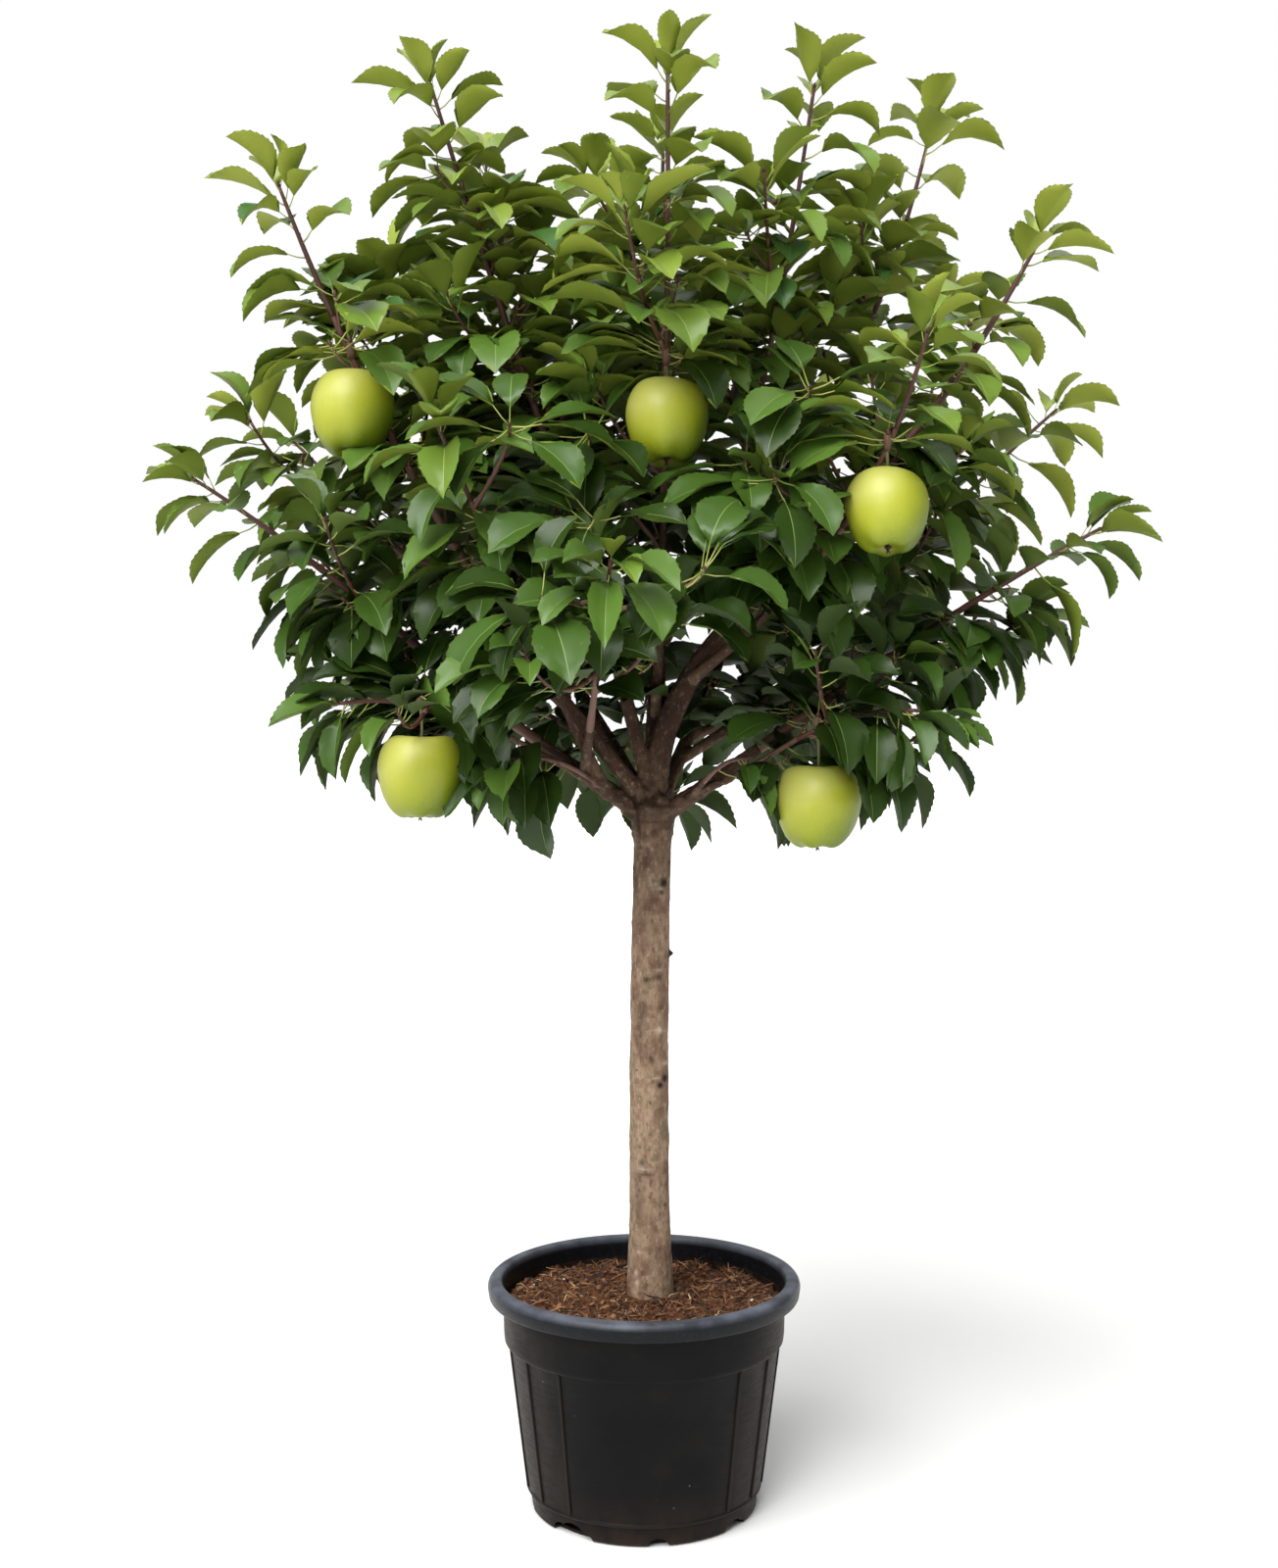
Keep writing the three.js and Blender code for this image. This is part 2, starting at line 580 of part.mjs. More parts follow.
function foliageSolid(limb, own) {
  const stemFrom = limb.to + GAP / limb.length;
  const stemRadius = (along) => lerp(limb.endRadius * STEM_STEP_IN, STEM_TIP_RADIUS, along);
  const solids = [limbSolid(limb.curve, stemFrom, 1, stemRadius, TWIG_SIDES, STEM_STEPS)];

  const branched = limb.length * (1 - limb.to) * (1 - SIDE_BARE) - SIDE_FIRST;
  const count = Math.max(SIDE_LEAST, Math.round(branched / SIDE_STEP));
  const shoots = [{ curve: limb.curve, length: limb.length, from: limb.length * limb.to, keys: [own, 0] }];
  for (let number = 1; number <= count; number++) {
    const shoot = sideShoot(limb, own, SIDE_FIRST + (branched * (number - 1)) / (count - 1), number);
    if (shoot) {
      const radiusAt = (along) => lerp(SIDE_RADIUS, SIDE_TIP_RADIUS, along);
      solids.push(limbSolid(shoot.curve, 0, 1, radiusAt, TWIG_SIDES, SIDE_STEPS));
      shoots.push(shoot);
    }
  }

  if (limb.fruit) {
    const stalk = new THREE.LineCurve3(limb.fruit.seat, limb.fruit.centre);
    solids.push(limbSolid(stalk, 0, 1, () => STALK_RADIUS, TWIG_SIDES, 1));
    solids.push(appleSolid(limb.fruit.centre));
  }
  const blades = [];
  const takesPlace = (points) => {
    const free = fits(points, own, LIMB_MARGIN) && blades.every((blade) => areApart(blade, points));
    if (free) {
      blades.push(points);
    }
    return free;
  };
  for (const shoot of shoots) {
    solids.push(...leavesOn(shoot, takesPlace).map(leafSolid));
  }
  return fuse(solids);
}

// ---------------------------------------------------------------- assembly

const plastic = { color: 0x2a2b2d, roughness: 0.55, metalness: 0 };
const compost = { color: 0x4a2f20, roughness: 1, metalness: 0 };
const bark = { color: 0x8d7b68, roughness: 0.85, metalness: 0 };
const foliage = { color: 0x3f7a35, roughness: 0.5, metalness: 0 };

const tree = new THREE.Group();

function addPiece(name, solid, finish) {
  const mesh = new THREE.Mesh(toGeometry(solid), new THREE.MeshStandardMaterial(finish));
  mesh.name = name;
  tree.add(mesh);
}

addPiece('pot', potSolid(), plastic);
addPiece('soil', soilSolid(), compost);
addPiece('trunk', limbSolid(trunk.curve, 0, 1, trunkRadius, TRUNK_SIDES, TRUNK_STEPS), bark);

// Each bough is cut clear of the trunk and of the boughs made before it.
const grownRadius = (along) => trunkRadius(along) + GAP;
const grownTrunk = limbSolid(trunk.curve, 0, 1, grownRadius, TRUNK_SIDES, TRUNK_STEPS);
let taken = grownTrunk.add(grownTrunk.translate(0, 0, GAP));
for (const limb of limbs) {
  const whole = limbSolid(limb.curve, 0, limb.to, limb.radiusAt, BOUGH_SIDES, BOUGH_STEPS);
  addPiece(`bough_${limb.name}`, fuse([whole.subtract(taken)]), bark);
  const grown = (along) => limb.radiusAt(along) + GAP;
  taken = taken.add(limbSolid(limb.curve, 0, limb.to, grown, BOUGH_SIDES, BOUGH_STEPS));
}

limbs.forEach((limb, own) => addPiece(`foliage_${limb.name}`, foliageSolid(limb, own), foliage));

export default tree;
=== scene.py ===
"""Dwarf apple tree in a round nursery pot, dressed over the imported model.

Lengths are millimetres in the part's frame (+Z up, -Y to the front) until a mesh is made, which is in metres.
Angles in tables are in degrees. Shares run from 0 to 1.
"""
import itertools
import math
import random

import bmesh
import bpy
import numpy as np
from mathutils import Matrix, Vector, kdtree, noise


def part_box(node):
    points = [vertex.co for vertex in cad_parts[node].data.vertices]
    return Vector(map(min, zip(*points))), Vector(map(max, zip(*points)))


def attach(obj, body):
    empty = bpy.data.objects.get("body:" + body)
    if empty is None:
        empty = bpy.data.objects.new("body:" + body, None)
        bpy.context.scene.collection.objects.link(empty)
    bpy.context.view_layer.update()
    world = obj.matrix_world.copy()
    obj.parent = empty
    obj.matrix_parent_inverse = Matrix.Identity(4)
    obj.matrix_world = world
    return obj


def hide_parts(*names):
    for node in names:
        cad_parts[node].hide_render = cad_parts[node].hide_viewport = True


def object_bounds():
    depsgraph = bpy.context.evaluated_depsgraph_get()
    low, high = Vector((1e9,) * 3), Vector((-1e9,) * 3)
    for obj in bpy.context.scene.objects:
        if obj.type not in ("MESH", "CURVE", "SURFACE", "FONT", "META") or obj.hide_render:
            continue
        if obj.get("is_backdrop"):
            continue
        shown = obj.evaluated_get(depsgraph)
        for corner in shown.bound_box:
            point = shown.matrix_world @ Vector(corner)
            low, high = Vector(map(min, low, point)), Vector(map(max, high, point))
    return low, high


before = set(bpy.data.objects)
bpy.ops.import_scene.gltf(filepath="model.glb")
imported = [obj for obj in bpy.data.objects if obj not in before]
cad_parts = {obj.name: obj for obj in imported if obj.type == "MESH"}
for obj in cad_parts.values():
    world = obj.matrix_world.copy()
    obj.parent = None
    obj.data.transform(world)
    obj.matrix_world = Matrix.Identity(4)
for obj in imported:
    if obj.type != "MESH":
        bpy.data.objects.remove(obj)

CAD_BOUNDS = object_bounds()
MM = 0.001
UP = np.array([0.0, 0.0, 1.0])
ACROSS = np.array([1.0, 0.0, 0.0])
NEARLY_UPRIGHT = 0.9
GOLDEN_TURN = 137.5  # degrees from one leaf or side shoot to the next

# ---- sizes that the frame gives

POT_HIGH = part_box("pot")[1] / MM
SOIL_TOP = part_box("soil")[1].z / MM
TRUNK_LOW, TRUNK_HIGH = (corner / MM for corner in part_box("trunk"))
TRUNK_LENGTH = TRUNK_HIGH.z - TRUNK_LOW.z

# ---- growth, as in the solids

TRUNK_FOOT_X = 6  # where the trunk's middle stands at the soil, and at its head
TRUNK_HEAD_X = 9
TRUNK_BOW = 2.5
TRUNK_LOW_RADIUS = 19.6
TRUNK_HIGH_RADIUS = 17.8
FLARE = 3.2  # the root flare is slimmer than the solid's, and drawn out further up
FLARE_HEIGHT = 95
HEAD_SWELL = 4.5
HEAD_LENGTH = 52
HEAD_ROUND = 10
HEAD_BLUNT = 0.35

BOUGH_SHARE_LOW = 0.24  # share of a limb that is bare bough, for a low tip and for a high one
BOUGH_SHARE_HIGH = 0.38
TIP_LOW = 850
TIP_HIGH = 1200
BOUGH_TAPER = 0.58
START_PULL = 0.34  # how far a limb keeps the direction of its start and of its tip, over its chord
END_PULL = 0.42
STEM_STEP_IN = 0.95  # the stem starts this much thinner than the end of its bough
STEM_TIP_RADIUS = 1.7

SIDE_FIRST = 34  # from the foot of a stem to its first side shoot
SIDE_STEP = 50
SIDE_LEAST = 5
SIDE_BARE = 0.34
SIDE_LENGTH = 190
SIDE_RADIUS = 2.3
SIDE_TIP_RADIUS = 1.4
SIDE_SPREAD = 58
SIDE_RISE = 0.4  # how much a side shoot turns up, over its length
SIDE_TRIES = (1, 0.72, 0.5)  # shares of its length that are tried
SIDE_SHORTENING = 0.45
SIDE_RANGE = (0.8, 1.15)
SIDE_TURN = 50
SIDE_CHECKS = (0.2, 0.4, 0.6, 0.8, 1)  # where along it a side shoot is kept in its mass
VIEW_CHECKS = np.linspace(0, 1, 12)  # and where it is kept out of the openings

CROWN_FOOT = 615
SPACE_MARGIN = 6
TWIG_MARGIN = 4
APPLE_MARGIN = 5
APPLE_RADIUS = 38
APPLE_HEIGHT = 76
SAMPLE_STEP = 10

# How each limb grows: where it leaves its parent, the place of its tip (azimuth, reach and height), its
# angles from upright at the tip and at the start, and the radius of its foot.
LIMB_ROWS = (
    # name, parent, at, azimuth, reach, height, lean, start, foot radius
    ("far_left", "trunk", 0.955, 194, 408, 944, 58, 58, 10.5),
    ("far_right", "trunk", 0.95, 349, 420, 919, 62, 56, 10),
    ("top", "trunk", 0.975, 80, 110, 1335, 2, 18, 11),
    ("left_upper", "trunk", 0.975, 203, 354, 1229, 22, 42, 8.5),
    ("upper_left", "trunk", 0.98, 205, 215, 1332, 18, 14, 8),
    ("front_low", "far_left", 0.6, 266, 372, 880, 62, 62, 6.5),
    ("rear_left", "trunk", 0.965, 128, 372, 1120, 30, 44, 8.5),
    ("rear_right", "trunk", 0.96, 62, 382, 1110, 30, 46, 9),
    ("low_left", "far_left", 0.5, 215, 345, 765, 100, 68, 5),
    ("front_left", "far_left", 0.4, 236, 315, 1010, 40, 46, 6),
    ("left_rear", "left_upper", 0.5, 163, 430, 1074, 50, 55, 5.5),
    ("rear_low_left", "rear_left", 0.4, 140, 388, 850, 70, 70, 6),
    ("top_front", "top", 0.35, 276, 195, 1318, -6, 44, 6),
    ("upper_right", "top", 0.6, 341, 168, 1342, 10, 35, 6),
    ("right_upper", "top", 0.8, 16, 300, 1345, 13, 50, 6),
    ("right", "trunk", 0.97, 349, 412, 1184, 28, 0, 13.5),
    ("right_rear", "rear_right", 0.35, 18, 445, 1066, 50, 60, 6),
    ("rear_low_right", "rear_right", 0.5, 47, 388, 850, 70, 75, 6),
    ("low_right", "far_right", 0.4, 322, 300, 762, 92, 75, 5),
    ("front_right", "right", 0.5, 314.5, 340, 1080, 20, 60, 6.5),
    ("skirt_left", "far_left", 0.4, 228, 190, 716, 98, 66, 4.5),
    ("skirt_right", "far_right", 0.35, 304, 180, 716, 98, 66, 4.5),
    ("skirt_rear", "rear_left", 0.35, 92, 190, 705, 98, 70, 4.5),
)

# Fruit: how far back from the tip of its leading shoot it hangs, how far below it, and how far its eye is
# tipped towards the front.
FRUIT_ROWS = {
    "left_upper": (162, 14, 16),
    "top_front": (255, 14, 14),
    "front_right": (105, 16, 18),
    "low_left": (105, 26, 4),
    "low_right": (111, 32, 3),
}

# ---- finer growth

SIDE_LAST = (0.58, 0.4)  # share of a stem that bears side shoots, for low and for high masses
SPUR_FIRST = 15  # from a shoot's foot to its first spur
SPUR_STEP = 36  # along a shoot, from one spur to the next
SPUR_SHIFT = (0.2, 0.8)  # how far along its step a spur stands
SPUR_LENGTH = (16, 44)
SPUR_CHECKS = np.array([0.6, 1])
SPUR_ANGLE = 52
SPUR_RADIUS = 1.5
SPUR_TIP_RADIUS = 1.1
SPUR_LEAVES = (4, 7)
# Stems that leave the line of their solid a little: share of the length that is kept, and shift of the tip.
STRAYS = {
    "left_rear": (0.9, (22, 0, -12)),
    "far_left": (1, (-12, 0, 26)),
    "low_left": (0.93, (0, 0, 0)),
    "right": (1, (-38, 0, 14)),
    "far_right": (1, (6, 0, 8)),
    "skirt_right": (0.85, (0, 0, 0)),
}
FILL_BEND = 0.35  # how far a shoot of the next table follows its stem, over its length
# Further shoots between the stems: limb, way along it, place of the tip.
FILL_SHOOTS = (
    ("left_upper", 0.6, (-246, 30, 1195)),
    ("upper_left", 0.72, (-152, 0, 1282)),
    ("upper_left", 0.6, (-100, 40, 1225)),
    ("top", 0.66, (-54, 50, 1282)),
    ("upper_left", 0.45, (-150, 60, 1130)),
    ("left_upper", 0.5, (-190, 30, 1120)),
)
STEM_BARE_TIP = 95  # the end of a stem, and of a side shoot, that bears leaves only
SHOOT_BARE_TIP = 55
BOUGH_BARE = 0.5  # share of a bough that bears no spurs, and the same at the rear
BOUGH_BARE_REAR = 0.25
REAR_FROM = 60  # how far back a limb's tip stands that is at the rear
LEAF_STEP = 25
STEM_LEAF_STEP = 21
LEAF_CLEARANCE = 2.5
BLADE_SPACING = 11  # least distance between the middles of two blades

BLADE_LENGTH = 71
BLADE_HALF_WIDTH = 21.5
PETIOLE_LENGTH = 20
PETIOLE_RADIUS = 0.75
# Kinds of leaf: size, length of the stalk, angle from the shoot, share of its rise that is kept, bend down,
# how much it hangs, and the least and most that it folds.
LEAF_COLUMNS = ("grade", "size", "stalk", "angle", "rise", "droop", "hang", "fold")
GROWN_LEAF, YOUNG_LEAF, SPUR_LEAF, OPEN_LEAF = (dict(zip(LEAF_COLUMNS, row)) for row in (
    ("grown", 1, 1.1, 54, 0.65, 66, 1, (12, 34)),
    ("young", 0.74, 0.9, 30, 0.95, 46, 0.9, (26, 46)),
    ("spur", 0.96, 1.1, 62, 0.75, 60, 0.8, (8, 26)),
    ("open", 0.97, 1.35, 78, 0.9, 46, 0.12, (8, 22)),
))
LEAF_TRIES = (0, 60, -60, 120, -120, 180)  # turns about the shoot that are tried
BLADE_CHECKS = np.array([0.15, 0.4, 0.7, 1.0])  # where along a blade it is kept clear
SHOOT_TURN = 70  # how much further round each shoot's leaves start
TIP_SIZES = (0.62, 0.78, 0.84, 0.88, 0.9)  # the leaves of a tuft, from its tip
TIP_SEAT = 4
TIP_ANGLE = 20  # between a shoot and the last leaf of its tuft, and how much more for each leaf before it
TIP_OPENING = 7
TIP_TURN = 90  # from a shoot's side to its last leaf
TIP_HANG = 0.3  # how much the last leaves of a rising shoot hang
RISING = 0.2  # least rise of such a shoot's tip, over its length
HANG_LEAVES = 5  # how many leaves back from the tuft the leaves hang as usual
GROWN_SIZES = (0.86, 0.03)  # size of the leaf next to the tuft, and how much larger each one before it is
STEP_SHARES = (0.45, 0.06)  # the same for the steps between the leaves
ROSETTE_STEP = 2
ROSETTE_TURN = 40  # how much further round each spur's leaves start
ROSETTE_FACING = 0.9  # where a rosette takes the direction of its spur
OPEN_LEAVES = 7  # leaves of a rosette that faces the front
LEAF_ROLL = 14
LEAF_FACING = 0.62  # how far a leaf rolls to face the light outside the crown
LIGHT_ABOVE = 0.8  # how much of that light comes from above
LEAST_FACING = 0.3
LENGTH_RANGE = (0.82, 1.1)
WIDTH_RANGE = (0.9, 1.1)
DROOP_RANGE = (0.7, 1.3)
PITCH_RANGE = (-6, 18)
HANG_LOW = 700
HANG_HIGH = 1300
HANG_PITCH = 46
HANG_STIFFNESS = 0.45  # how much less a leaf bends that already hangs

# Numbers that keep the draws for shoots and leaves of different kinds apart.
FILL_NUMBER, SPUR_NUMBER, BOUGH_SPUR_NUMBER = 30, 100, 400
SPUR_NUMBER_STEP = 20
FRONT_SPUR_NUMBER, FRUIT_SPUR_NUMBER = 700, 800
ROSETTE_KEY, TIP_LEAF_KEY = 40, 90

FRONT_FACING = np.array([0, -0.9, 0.45])
FRONT_BEND = 0.4  # how far a front spur's end is straight, over its length
FRUIT_SPUR = np.array([0, -10, 12])  # from a fruit's seat to the tip of its spur
FRUIT_SPUR_RADII = (4.2, 3.4)
# Spurs that turn their rosettes to the front: limb, way along it, place of the tip.
FRONT_SPURS = (
    ("front_low", 0.72, (-41, -262, 923)),
    ("front_low", 0.86, (-82, -330, 853)),
    ("front_low", 0.8, (48, -318, 878)),
    ("front_left", 0.78, (-112, -262, 1000)),
    ("front_right", 0.62, (110, -240, 960)),
    ("top_front", 0.5, (22, -150, 1080)),
    ("top_front", 0.32, (-49, -180, 1006)),
    ("front_right", 0.45, (88, -190, 978)),
    ("front_right", 0.62, (143, -205, 1040)),
)
CROWN_MIDDLE = np.array([0.0, 0.0, 985.0])
CROWN_REACH = np.array([470.0, 400.0, 310.0])

# The fork and the fruit stay open to the front: nothing hangs between them and a person who stands there.
FRONT_EYE = np.array([0.0, -1920.0, 785.0])
FRUIT_OPENING = 37
FRUIT_BEHIND = 15  # leaves whose points stand this far behind a fruit's middle still count as before it
FORK_BACK = -20  # the fork's openings reach back to here
# Middle across, middle up, half-width and half-height of each opening, in the plane of the trunk.
FORK_OPENINGS = (
    (-4, 700, 88, 66),
    (52, 776, 46, 52),
    (-64, 740, 58, 34),
    (92, 628, 44, 36),
)
# Sky shows between the stems, whichever way it is looked through there.
SKY_OPENINGS = (
    (93, 1386, 14, 48),
    (-90, 1372, 34, 62),
    (-290, 1270, 26, 30),
    (323, 1262, 16, 38),
    (112, 1312, 30, 28),
)
# Light reaches the fruit from the front left.
FRONT_LIGHT = np.array([-1500.0, -2400.0, 2900.0])
LIGHT_OPENING = 32


# ---- helpers

def lerp(low, high, share):
    return low + (high - low) * share


def smoothstep(value, low, high):
    share = np.clip((value - low) / (high - low), 0, 1)
    return share * share * (3 - 2 * share)


def growing(values, i):
    """The first value, grown by the second for each of i steps, up to 1."""
    return min(1, values[0] + values[1] * i)


def unit(vector):
    return vector / np.linalg.norm(vector)


# Numbers that only have to be uneven, so that near keys give results far apart.
MIX_START, MIX_KEY, MIX_PLACE, MIX_SCALE = 1.37, 12.9898, 65.234, 43758.5453


def chance(*keys):
    """A number from 0 to 1 that is always the same for the same keys. The last key is that of the draw."""
    mixed = MIX_START + sum(key * (MIX_KEY + MIX_PLACE * place) for place, key in enumerate(keys))
    wave = math.sin(mixed) * MIX_SCALE
    return wave - math.floor(wave)


def spread(bounds, *keys):
    return lerp(*bounds, chance(*keys))


def polar(azimuth, reach, height):
    angle = math.radians(azimuth)
    return np.array([math.cos(angle) * reach, math.sin(angle) * reach, height])


def level_direction(vector):
    """The level part of a direction; across, where the direction is upright."""
    level = np.array([vector[0], vector[1], 0.0])
    return unit(level) if np.linalg.norm(level) > 1e-3 else ACROSS


def square_to(direction):
    """Some direction at a right angle to another."""
    return unit(np.cross(direction, UP if abs(unit(direction)[2]) < NEARLY_UPRIGHT else ACROSS))


class Curve:
    """A curve that is read by the share of its length."""

    TANGENT_REACH = 0.004

    def __init__(self, point_at, pieces=120):
        self.points = np.array([point_at(i / pieces) for i in range(pieces + 1)])
        steps = np.linalg.norm(np.diff(self.points, axis=0), axis=1)
        self.places = np.concatenate([[0], np.cumsum(steps)])
        self.length = self.places[-1]

    def at(self, share):
        place = np.clip(share, 0, 1) * self.length
        return np.stack([np.interp(place, self.places, line) for line in self.points.T], axis=-1)

    def tangent(self, share):
        ahead, back = min(share + self.TANGENT_REACH, 1), max(share - self.TANGENT_REACH, 0)
        return unit(self.at(ahead) - self.at(back))


def bezier(*controls):
    """A Bezier curve of any degree through its first and last control."""
    degree = len(controls) - 1
    return Curve(lambda way: sum(
        math.comb(degree, i) * way ** i * (1 - way) ** (degree - i) * control
        for i, control in enumerate(controls)
    ))


def to_linear(code):
    """An sRGB hex colour as linear red, green and blue."""
    parts = [int(code[i:i + 2], 16) / 255 for i in (1, 3, 5)]
    return [p / 12.92 if p <= 0.04045 else ((p + 0.055) / 1.055) ** 2.4 for p in parts]


def make_object(name, mesh):
    piece = bpy.data.objects.new(name, mesh)
    bpy.context.scene.collection.objects.link(piece)
    return piece


def mesh_piece(name, points, faces, materials, indices=None, sharp=None):
    """A smooth-shaded piece from corners in millimetres. Edges between two sharp corners stay sharp."""
    mesh = bpy.data.meshes.new(name)
    mesh.from_pydata((np.asarray(points) * MM).tolist(), [], faces)
    for material in materials:
        mesh.materials.append(material)
    if indices is not None:
        mesh.polygons.foreach_set("material_index", indices)
    mesh.shade_smooth()
    if sharp is not None:
        ends = np.zeros(len(mesh.edges) * 2, dtype=np.int64)
        mesh.edges.foreach_get("vertices", ends)
        is_sharp = np.asarray(sharp)[ends.reshape(-1, 2)].all(axis=1)
        mesh.attributes.new("sharp_edge", "BOOLEAN", "EDGE").data.foreach_set("value", is_sharp)
    mesh.update()
    return make_object(name, mesh)


def bmesh_piece(name, work, materials):
    """A piece from a bmesh in millimetres."""
    bmesh.ops.scale(work, vec=Vector((MM, MM, MM)), verts=work.verts)
    mesh = bpy.data.meshes.new(name)
    work.to_mesh(mesh)
    work.free()
    for material in materials:
        mesh.materials.append(material)
    mesh.shade_smooth()
    return make_object(name, mesh)


def apply_modifiers(piece):
    bpy.context.view_layer.update()
    mesh = bpy.data.meshes.new_from_object(piece.evaluated_get(bpy.context.evaluated_depsgraph_get()))
    piece.modifiers.clear()
    old, piece.data = piece.data, mesh
    bpy.data.meshes.remove(old)


def spun(section, segments):
    """A bmesh of a section, given as radius and height, spun about the upright axis."""
    work = bmesh.new()
    line = [work.verts.new((radius, 0, height)) for radius, height in section]
    edges = [work.edges.new(pair) for pair in zip(line, line[1:])]
    bmesh.ops.spin(work, geom=line + edges, axis=(0, 0, 1), cent=(0, 0, 0), angle=2 * math.pi,
                   steps=segments, use_merge=True)
    return work


def tree_of(points):
    """A tree that finds the nearest of the points."""
    tree = kdtree.KDTree(len(points))
    for i, point in enumerate(points):
        tree.insert(point, i)
    tree.balance()
    return tree


class Gathered:
    """Many small closed shapes on their way to one mesh. Each has a tone, the number of its material."""

    def __init__(self):
        self.corners, self.faces, self.tones, self.count = [], [], [], 0

    def add(self, shape, tone=0):
        points, faces = shape
        self.corners.append(points)
        self.faces += [[self.count + i for i in face] for face in faces]
        self.tones += [tone] * len(faces)
        self.count += len(points)

    def piece(self, name, materials):
        return mesh_piece(name, np.concatenate(self.corners), self.faces, materials, self.tones)


# ---- materials

# Sockets of a colour mix, which has one set for each kind of value.
FACTOR, FIRST, SECOND, RESULT = 0, 6, 7, 2
POLYPROPYLENE_IOR = 1.49


def colour(code):
    return (*to_linear(code), 1)


def per(size):
    """The scale of a pattern whose features are about size millimetres wide."""
    return 1 / (size * MM)


def add_node(tree, kind, inputs=None, stops=(), **settings):
    """Adds a shader node. An input takes a value, or a link where it is given another node's output."""
    node = tree.nodes.new("ShaderNode" + kind)
    for name, value in settings.items():
        setattr(node, name, value)
    for name, value in (inputs or {}).items():
        if isinstance(value, bpy.types.NodeSocket):
            tree.links.new(value, node.inputs[name])
        else:
            node.inputs[name].default_value = value
    for i, (position, code) in enumerate(stops):
        elements = node.color_ramp.elements
        element = elements[i] if i < 2 else elements.new(position)
        element.position = position
        element.color = colour(code)
    return node


def new_material(name, values):
    """A material, and its tree and Principled shader with the given values on its own sockets."""
    material = bpy.data.materials.new(name)
    material.use_nodes = True
    shader = material.node_tree.nodes["Principled BSDF"]
    for socket, value in values.items():
        shader.inputs[socket].default_value = value
    return material, material.node_tree, shader


def plain_material(name, code, roughness, specular=0.5):
    return new_material(name, {
        "Base Color": colour(code), "Roughness": roughness, "Specular IOR Level": specular})[0]


def tone_materials(name, tones, roughness, specular=0.5, fall=0):
    """A plain material for each tone. From tone to tone the specular falls."""
    return [plain_material(f"{name}_{i}", tone, roughness, specular - fall * i)
            for i, tone in enumerate(tones)]


def polypropylene_material():
    """Injection-moulded black polypropylene: dull black, with dry compost dust on its sides and low down."""
    material, tree, shader = new_material("moulded_black_polypropylene", {
        "IOR": POLYPROPYLENE_IOR, "Specular IOR Level": 0.11})
    place = add_node(tree, "TexCoord").outputs["Object"]
    height = add_node(tree, "SeparateXYZ", {"Vector": place}).outputs["Z"]
    cloud = add_node(tree, "TexNoise", {"Vector": place, "Scale": per(50), "Detail": 4}).outputs["Fac"]
    fine = add_node(tree, "TexNoise", {
        "Vector": place, "Scale": per(3), "Detail": 4, "Roughness": 0.7}).outputs["Fac"]
    black = add_node(tree, "ValToRGB", {"Fac": cloud}, (
        (0.35, "#08080a"), (0.6, "#0d0c0c"), (0.72, "#13110f"))).outputs["Color"]
    # Dust gathers on the sides and back, in patches about 20 mm wide, and low down all round.
    upright = add_node(tree, "Mapping", {"Vector": place, "Scale": (1, 1, 0.5)}).outputs["Vector"]
    streaks = add_node(tree, "TexNoise", {
        "Vector": upright, "Scale": per(20), "Detail": 6, "Roughness": 0.65}).outputs["Fac"]
    depth = add_node(tree, "SeparateXYZ", {"Vector": place}).outputs["Y"]
    turned = add_node(tree, "MapRange", {
        "Value": depth, "From Min": -0.1, "From Max": -0.05, "To Max": 0.6}).outputs["Result"]
    low = add_node(tree, "MapRange", {
        "Value": height, "From Min": 0.05, "From Max": 0.0, "To Max": 0.5}).outputs["Result"]
    where = add_node(tree, "Math", {0: turned, 1: low}, operation="MAXIMUM").outputs[0]
    thick = add_node(tree, "MapRange", {
        "Value": streaks, "From Min": 0.36, "From Max": 0.64, "To Min": 0.2, "To Max": 0.7}).outputs["Result"]
    dust = add_node(tree, "Math", {0: thick, 1: where}, operation="MULTIPLY").outputs[0]
    base = add_node(tree, "Mix", {FACTOR: dust, FIRST: black, SECOND: colour("#423022")},
                    data_type="RGBA").outputs[RESULT]
    # Splashes of compost and perlite: specks about 1 mm wide, one cell in three.
    cells = add_node(tree, "TexVoronoi", {"Vector": place, "Scale": per(15)})
    speck = add_node(tree, "MapRange", {
        "Value": cells.outputs["Distance"], "From Min": 0.06, "From Max": 0.035}).outputs["Result"]
    cell_key = add_node(tree, "SeparateColor", {"Color": cells.outputs["Color"]}).outputs["Red"]
    kept = add_node(tree, "MapRange", {
        "Value": cell_key, "From Min": 0.5, "From Max": 0.6, "To Max": 0.6}).outputs["Result"]
    specks = add_node(tree, "Math", {0: speck, 1: kept}, operation="MULTIPLY").outputs[0]
    base = add_node(tree, "Mix", {FACTOR: specks, FIRST: base, SECOND: colour("#7b766c")},
                    data_type="RGBA").outputs[RESULT]
    tree.links.new(base, shader.inputs["Base Color"])
    # Scuffs run round the pot and are a few millimetres long.
    round_pot = add_node(tree, "Mapping", {"Vector": place, "Scale": (0.25, 0.25, 2.2)}).outputs["Vector"]
    scuffs = add_node(tree, "TexNoise", {
        "Vector": round_pot, "Scale": per(5), "Detail": 5, "Roughness": 0.75}).outputs["Fac"]
    dull = add_node(tree, "MapRange", {
        "Value": scuffs, "From Min": 0.35, "From Max": 0.75,
        "To Min": 0.38, "To Max": 0.62}).outputs["Result"]
    tree.links.new(dull, shader.inputs["Roughness"])
    pitted = add_node(tree, "Bump", {"Height": fine, "Distance": 0.25 * MM, "Strength": 0.35})
    scuffed = add_node(tree, "Bump", {
        "Height": scuffs, "Distance": 0.3 * MM, "Strength": 0.3, "Normal": pitted.outputs["Normal"]})
    tree.links.new(scuffed.outputs["Normal"], shader.inputs["Normal"])
    return material


